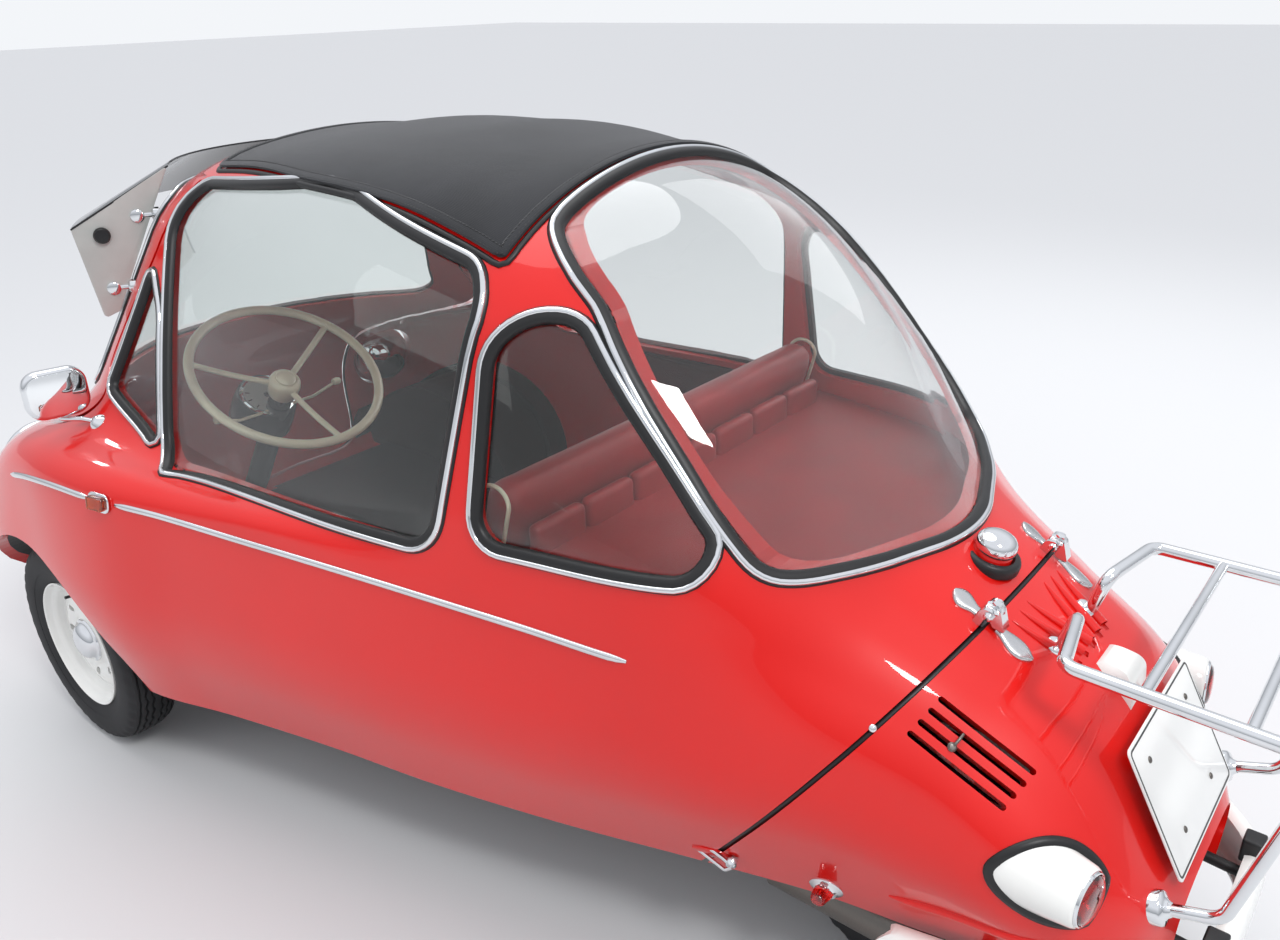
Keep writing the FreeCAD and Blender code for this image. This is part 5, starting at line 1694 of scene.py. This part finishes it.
class BUBBLECAR_OT_wheels(bpy.types.Operator):
    """Tyres, white steel wheels, hub caps and valves"""
    bl_idname = "bubblecar.wheels"
    bl_label = "Wheels"

    def execute(self, context):
        disc = [(149, 45.5), (148.6, 48), (147, 49), (145, 48), (143.5, 45), (141, 38), (137, 34),
                (131, 31), (128, 25), (126, 16), (121, 12), (112, 15), (100, 20), (88, 21.5), (78, 19),
                (68, 17), (58, 19), (52, 22), (49, 24), (49, 18), (22, 18), (22, -30), (46, -30), (60, 4),
                (90, 8), (118, 2), (124, -20), (138, -34), (143, -45), (149, -46), (147, -40), (145, -34),
                (136, -20), (134, 0), (136, 26), (145, 34), (147, 40)]
        cap = [(0, 20), (50.5, 20), (51.5, 24), (50, 27), (46, 28), (43.5, 30), (41, 35), (36, 41),
               (28, 46), (17, 49.5), (8, 50.8), (0, 51)]
        holes = [lathe([(0, -40), (9, -40), (9, 40), (0, 40)], (0, 84 * cos(a), 84 * sin(a)), (1, 0, 0), 24)
                 for a in (tau * k / 8 for k in range(8))]
        blank = cut_mesh(lathe(disc + disc[:1], (0, 0, 0), (1, 0, 0), 96), holes)
        pattern = bpy.data.meshes.new("wheel_pattern")
        blank.to_mesh(pattern)
        blank.free()
        for side, sign in SIDES:
            for end, x, y in (("front", FRONT_TRACK / 2, FRONT_AXLE_Y),
                              ("rear", REAR_TRACK / 2, REAR_AXLE_Y)):
                centre = Vector((x * sign, y, AXLE_Z))
                body = "wheels_rear" if end == "rear" else "wheel_f" + side[0]
                piece(tyre(centre, sign), "tyre_%s_%s" % (end, side), "tyre_rubber", body,
                      ["%s_tyre_%s" % (end, side)], sharp=35)
                bm = bmesh.new()
                bm.from_mesh(pattern)
                if sign < 0:
                    flipped(bm)
                bmesh.ops.translate(bm, verts=bm.verts, vec=centre)
                piece(bm, "wheel_%s_%s" % (end, side), "white_enamel", body,
                      ["%s_wheel_%s" % (end, side)], sharp=40)
                piece(lathe(cap, centre, (sign, 0, 0), 72), "hub_cap_%s_%s" % (end, side), "chrome_plate",
                      body)
                valve = centre + Vector((26 * sign, 0, 118))
                piece(tube([valve, valve + Vector((22 * sign, 0, 3))], 3.4, sides=14),
                      "valve_%s_%s" % (end, side), "seal_rubber", body)
        bpy.data.meshes.remove(pattern)
        return {"FINISHED"}


class BUBBLECAR_OT_steering(bpy.types.Operator):
    """Cream three-spoke wheel, its column, the instrument and the stalks"""
    bl_idname = "bubblecar.steering"
    bl_label = "Steering"

    def execute(self, context):
        hub = Vector(WHEEL_HUB)
        way = (hub - Vector(COLUMN_FOOT)).normalized()
        front = Vector((0, -way.z, way.y))
        one = Vector((1, 0, 0))
        two = way.cross(one)
        rim = [(p, way) for p in (hub + way * 30 + (one * cos(a) + two * sin(a)) * 190
                                  for a in (tau * k / 96 for k in range(96)))]
        parts = [sweep(rim, oval(10, 9, 16), True)]
        for turn in (90, 210, 330):
            arm = one * cos(radians(turn)) + two * sin(radians(turn))
            path = [(hub + arm * (20 + 166 * t) + way * (2 + 28 * t ** 1.6), way)
                    for t in (k / 12 for k in range(13))]
            parts.append(sweep(path, oval(7, 4.5, 12)))
        parts.append(lathe([(0, -30), (26, -30), (30, -24), (32, -8), (33, 4), (31, 12), (27, 17), (24, 18),
                            (0, 18)], hub, way, 56))
        piece(joined(*parts), "steering_rim", "cream_plastic", "steering", ["steering_wheel"], sharp=50)
        button = [(22, 17), (23, 20), (21.5, 22), (20, 21), (18, 22.5), (10, 25), (0, 26)]
        piece(lathe(button, hub, way, 48), "horn_button", "cream_plastic", "steering", sharp=30)
        base = hub - way * 150 + front * 40
        column = tube([hub - way * 55, hub - way * 430], 24, sides=32)
        pod = [(0, 0), (62, 0), (66, 6), (66, 40), (63, 66), (60, 74), (56, 75), (0, 75)]
        piece(joined(column, lathe(pod, base, way, 64)), "column_tube", "black_enamel", "body")
        ring = [(49, 74), (49, 78), (53, 79.5), (57, 78), (58, 74)]
        piece(lathe(ring, base, way, 64), "dial_ring", "chrome_plate", "body")
        face = [(0, 75.3), (49, 75.3), (49, 76), (0, 76)]
        piece(lathe(face, base, way, 48), "dial_face", "white_plate", "body")
        marks = []
        for k in range(9):
            turn = radians(-30 + 30 * k)
            arm = one * cos(turn) + two * sin(turn)
            marks.append(sweep([(base + way * 76 + arm * r, way) for r in (36, 45)],
                               [(-1, 0), (-1, 0.4), (1, 0.4), (1, 0)]))
        arm = one * cos(2.2) + two * sin(2.2)
        marks.append(sweep([(base + way * 76.4 + arm * r, way) for r in (-8, 38)],
                           [(-1, 0), (-1, 0.6), (1, 0.6), (1, 0)]))
        marks.append(lathe([(0, 76), (6, 76), (6, 78), (0, 79)], base, way, 20))
        piece(joined(*marks), "dial_marks", "black_plastic", "body")
        cover = [(0, 77.4), (49, 77.4), (49, 78.2), (0, 79.4)]
        piece(lathe(cover, base, way, 48), "dial_glass", "clear_glass", "body")
        stalks = []
        for sign in (1, -1):
            start = hub - way * 74 + one * (20 * sign)
            stalks.append(tube([start, start + one * (70 * sign), start + one * (120 * sign) + way * 24],
                               3.2, 20, 14))
            tip = start + one * (124 * sign) + way * 26
            stalks.append(lathe([(0, -10), (7, -8), (8.5, 0), (7, 8), (0, 10)], tip, one, 24))
        piece(joined(*stalks), "stalks", "cream_plastic", "body")
        return {"FINISHED"}


# Grid of the swollen pads in metres, and the steps that they swell for
PAD_VOXEL = 0.011
PAD_FRAMES = 16


def puffed(bm, name, most):
    """Pad swollen by a cloth simulation under pressure; no point moves further than most, in mm."""
    obj = make_object(bm, name)
    remesh = obj.modifiers.new("voxels", "REMESH")
    remesh.mode = "VOXEL"
    remesh.voxel_size = PAD_VOXEL
    frozen(obj)
    start = [v.co.copy() for v in obj.data.vertices]
    cloth = obj.modifiers.new("cloth", "CLOTH")
    cloth.settings.use_pressure = True
    cloth.settings.uniform_pressure_force = 4.0
    cloth.settings.effector_weights.gravity = 0.0
    cloth.settings.quality = 4
    cloth.collision_settings.use_collision = False
    for step in range(1, PAD_FRAMES + 1):
        bpy.context.scene.frame_set(step)
    frozen(obj)
    bpy.context.scene.frame_set(1)
    for vert, place in zip(obj.data.vertices, start):
        way = vert.co - place
        if way.length > most / 1000:
            vert.co = place + way * (most / 1000 / way.length)
    smooth = obj.modifiers.new("smooth", "SMOOTH")
    smooth.factor = 0.5
    smooth.iterations = 3
    frozen(obj)
    for face in obj.data.polygons:
        face.use_smooth = True
    return obj


class BUBBLECAR_OT_seats(bpy.types.Operator):
    """Bench cushion and backrest of red vinyl with piping along their front edges"""
    bl_idname = "bubblecar.seats"
    bl_label = "Seats"

    def execute(self, context):
        fills = {
            "seat_cushion": ([(1016, 314, 14), (1474, 314, 14), (1474, 424, 40), (1016, 454, 52)], 424),
            "seat_back": ([(1431, 452, 38), (1494, 448, 36), (1614, 872, 42), (1546, 884, 42)], 444),
        }
        for name, (corners, half) in fills.items():
            bm = rolled(prism(corners, "side", -half, half), 22, 3, 60)
            pad = puffed(bm, name + "_pad", 7)
            dress(pad, "red_vinyl", "body", [name])
        piping = []
        for sign in (1, -1):
            for corners, half in fills.values():
                line = outline(corners, -4, 12)
                edge = [(Vector((sign * (half + 1), p.x, p.y)), Vector((sign, 0, 0))) for p in line]
                piping.append(sweep(edge, oval(3.5, 3.5, 10), True))
        piece(joined(*piping), "seat_piping", "cream_plastic", "body", sharp=60)
        return {"FINISHED"}


class BUBBLECAR_OT_underside(bpy.types.Operator):
    """Finishes of the parts that the solids already show well"""
    bl_idname = "bubblecar.underside"
    bl_label = "Underside"

    def execute(self, context):
        plain = {"floor_pan": "chassis_paint", "rear_shelf": "red_vinyl", "engine_block": "cast_aluminium",
                 "rear_arm": "chassis_paint", "silencer": "bare_steel", "front_axle": "chassis_paint",
                 "knuckle_left": "chassis_paint", "knuckle_right": "chassis_paint"}
        for node, finish in plain.items():
            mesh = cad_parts[node].data
            for k in range(len(mesh.materials)):
                mesh.materials[k] = material(finish)
        return {"FINISHED"}


class BUBBLECAR_OT_arches(bpy.types.Operator):
    """Black linings inside the front wheel arches"""
    bl_idname = "bubblecar.arches"
    bl_label = "Arch linings"

    def execute(self, context):
        y, z, radius = ARCH
        for side, sign in SIDES:
            def disc(reach):
                profile = [(0, 0), (reach, 0), (reach, 600), (0, 600)]
                return lathe(profile, (sign * 360, y, z), (sign, 0, 0), 96)
            wall = solid_skin("arch_lining_" + side, 22, 70)
            lining = carved(wall, [disc(radius - 1)], [disc(radius + 26)])
            skin_shading(lining)
            dress(lining, "chassis_paint", "body")
        return {"FINISHED"}


class BUBBLECAR_OT_lining(bpy.types.Operator):
    """Maroon boards and a quilted pad in front of the shelf, under the bubble"""
    bl_idname = "bubblecar.lining"
    bl_label = "Lining"

    def execute(self, context):
        bm = skin().bm.copy()
        for vert in bm.verts:
            vert.co -= vert.normal * (WALL + 1.5)
        obj = make_object(bm, "side_lining")
        wall = obj.modifiers.new("wall", "SOLIDIFY")
        wall.thickness = 0.004
        wall.offset = -1.0
        frozen(obj)
        cuts = [prism(corners, "side", -900, 900, 4) for corners in (SIDE_WINDOW, REAR_SIDE_WINDOW)]
        board = [(1000, 470, 30), (1650, 470, 30), (1650, 760, 40), (1000, 730, 40)]
        carved(obj, cuts, [prism(board, "side", -900, 900)])
        skin_shading(obj)
        dress(obj, "maroon_board", "body")
        quilt = []
        for k in range(7):
            quilt.append(block((114, 26, 92), (120 * k - 360, 1618, 762), 11))
        piece(joined(*quilt), "shelf_quilt", "red_vinyl", "body", sharp=60)
        return {"FINISHED"}


def add_lamp(name, place, target, size, power, mirrored):
    """Square soft lamp aimed at a target; mirrored says whether bright metal shows it."""
    light = bpy.data.lights.new(name, "AREA")
    light.size = size
    light.energy = power
    lamp = linked(name, light)
    lamp.location = place
    lamp.rotation_euler = (Vector(target) - Vector(place)).to_track_quat("-Z", "Y").to_euler()
    lamp.visible_glossy = mirrored


def add_sky_light():
    """Even light from high up, as under an open sky."""
    sun = bpy.data.lights.new("sky", "SUN")
    sun.energy = 1.1
    sun.angle = 0.9
    linked("sky", sun).rotation_euler = (radians(22), radians(-12), 0)


def add_world():
    """Sky that brightens upwards; the camera sees a plain pale background in its place."""
    world = bpy.data.worlds.new("studio")
    bpy.context.scene.world = world
    world.use_nodes = True
    tree = world.node_tree
    light = tree.nodes["Background"]
    light.inputs["Strength"].default_value = 0.95
    way = add(tree, "ShaderNodeTexCoord")
    parts = add(tree, "ShaderNodeSeparateXYZ", {}, {"Vector": (way, "Generated")})
    ramp = add(tree, "ShaderNodeValToRGB", {}, {"Fac": (parts, "Z")}, {"Color": (light, "Color")})
    stops = ((0.02, (0.45, 0.47, 0.5, 1)), (0.55, (1.0, 1.02, 1.08, 1)))
    for stop, (position, colour) in zip(ramp.color_ramp.elements, stops):
        stop.position = position
        stop.color = colour
    seen = add(tree, "ShaderNodeBackground", {"Color": (0.9, 0.92, 0.95, 1), "Strength": 1.0})
    path = add(tree, "ShaderNodeLightPath")
    direct = add(tree, "ShaderNodeMath", {"operation": "MAXIMUM"},
                 {0: (path, "Is Camera Ray"), 1: (path, "Is Transmission Ray")})
    both = {0: (direct, "Value"), 1: (light, "Background"), 2: (seen, "Background")}
    add(tree, "ShaderNodeMixShader", {}, both, {"Shader": (tree.nodes["World Output"], "Surface")})


def add_floor():
    """Plain pale floor."""
    bm = bmesh.new()
    bmesh.ops.create_grid(bm, x_segments=1, y_segments=1, size=40.0)
    mesh = bpy.data.meshes.new("floor")
    bm.to_mesh(mesh)
    bm.free()
    floor = linked("floor", mesh)
    paint, tree, shader, place = new_material("floor_paint", {"Roughness": 0.9,
                                                              "Base Color": (0.58, 0.585, 0.59, 1)})
    cloud = add(tree, "ShaderNodeTexNoise", {"Scale": 3.0}, {"Vector": (place, "Object")})
    add(tree, "ShaderNodeBump", {"Strength": 0.1, "Distance": 0.0005}, {"Height": (cloud, "Fac")},
        {"Normal": (shader, "Normal")})
    floor.data.materials.append(paint)


def add_camera():
    """Camera at the photograph's place, turned by its yaw, pitch and roll."""
    level = cos(CAMERA_PITCH)
    forward = Vector((-sin(CAMERA_YAW) * level, -cos(CAMERA_YAW) * level, -sin(CAMERA_PITCH)))
    right = forward.cross(UP).normalized()
    up = right.cross(forward)
    side = right * cos(CAMERA_ROLL) + up * sin(CAMERA_ROLL)
    top = up * cos(CAMERA_ROLL) - right * sin(CAMERA_ROLL)
    lens = bpy.data.cameras.new("camera")
    lens.sensor_width = SENSOR
    lens.lens = FOCAL_PIXELS * SENSOR / PHOTO_WIDTH
    lens.clip_start = 0.05
    turn = Matrix((side, top, -forward)).transposed().to_4x4()
    turn.translation = to_frame(Vector(CAMERA_PLACE))
    camera = linked("camera", lens)
    camera.matrix_world = turn
    bpy.context.scene.camera = camera


class BUBBLECAR_OT_stage(bpy.types.Operator):
    """Pale floor, soft lamps, and the camera at the photograph's place"""
    bl_idname = "bubblecar.stage"
    bl_label = "Stage"

    def execute(self, context):
        add_floor()
        add_world()
        add_lamp("key", (1.6, 3.6, 5.0), (0, 0.2, 0.6), 1.1, 130, True)
        add_lamp("fill", (4.6, -2.6, 2.6), (0, 0, 0.6), 3.0, 40, False)
        add_lamp("far", (-3.6, 0.5, 3.6), (0, 0, 0.6), 3.0, 50, False)
        add_sky_light()
        add_camera()
        bpy.context.scene.view_settings.view_transform = "Standard"
        return {"FINISHED"}


OPERATORS = [
    BUBBLECAR_OT_body,
    BUBBLECAR_OT_door,
    BUBBLECAR_OT_cover,
    BUBBLECAR_OT_glass,
    BUBBLECAR_OT_seals,
    BUBBLECAR_OT_strips,
    BUBBLECAR_OT_canvas,
    BUBBLECAR_OT_louvres,
    BUBBLECAR_OT_hinges,
    BUBBLECAR_OT_latch,
    BUBBLECAR_OT_clip,
    BUBBLECAR_OT_tail_lamps,
    BUBBLECAR_OT_plate,
    BUBBLECAR_OT_bumper,
    BUBBLECAR_OT_rack,
    BUBBLECAR_OT_filler,
    BUBBLECAR_OT_visor,
    BUBBLECAR_OT_headlamps,
    BUBBLECAR_OT_indicators,
    BUBBLECAR_OT_door_fittings,
    BUBBLECAR_OT_mirror,
    BUBBLECAR_OT_wheels,
    BUBBLECAR_OT_arches,
    BUBBLECAR_OT_lining,
    BUBBLECAR_OT_seats,
    BUBBLECAR_OT_underside,
    BUBBLECAR_OT_steering,
    BUBBLECAR_OT_stage,
]


class BUBBLECAR_PT_panel(bpy.types.Panel):
    """Lists the groups of pieces in the sidebar"""
    bl_idname = "BUBBLECAR_PT_panel"
    bl_label = "Bubble car"
    bl_space_type = "VIEW_3D"
    bl_region_type = "UI"
    bl_category = "Bubble car"

    def draw(self, context):
        for group in (context.scene.bubble_car_sizes, context.scene.bubble_car_colours):
            for key in group.bl_rna.properties.keys():
                if key not in ("rna_type", "name"):
                    self.layout.prop(group, key)
        for each in OPERATORS:
            self.layout.operator(each.bl_idname)


CLASSES = [BubbleCarSizes, BubbleCarColours] + OPERATORS + [BUBBLECAR_PT_panel]


def register():
    """Registers the classes and hangs the sizes and colours on the scene."""
    for each in CLASSES:
        bpy.utils.register_class(each)
    bpy.types.Scene.bubble_car_sizes = bpy.props.PointerProperty(type=BubbleCarSizes)
    bpy.types.Scene.bubble_car_colours = bpy.props.PointerProperty(type=BubbleCarColours)


def unregister():
    """Takes away what register added."""
    del bpy.types.Scene.bubble_car_sizes
    del bpy.types.Scene.bubble_car_colours
    for each in reversed(CLASSES):
        bpy.utils.unregister_class(each)


def main():
    """Makes every piece in order."""
    register()
    for each in OPERATORS:
        getattr(bpy.ops.bubblecar, each.bl_idname.partition(".")[2])()


if __name__ == "__main__":
    main()
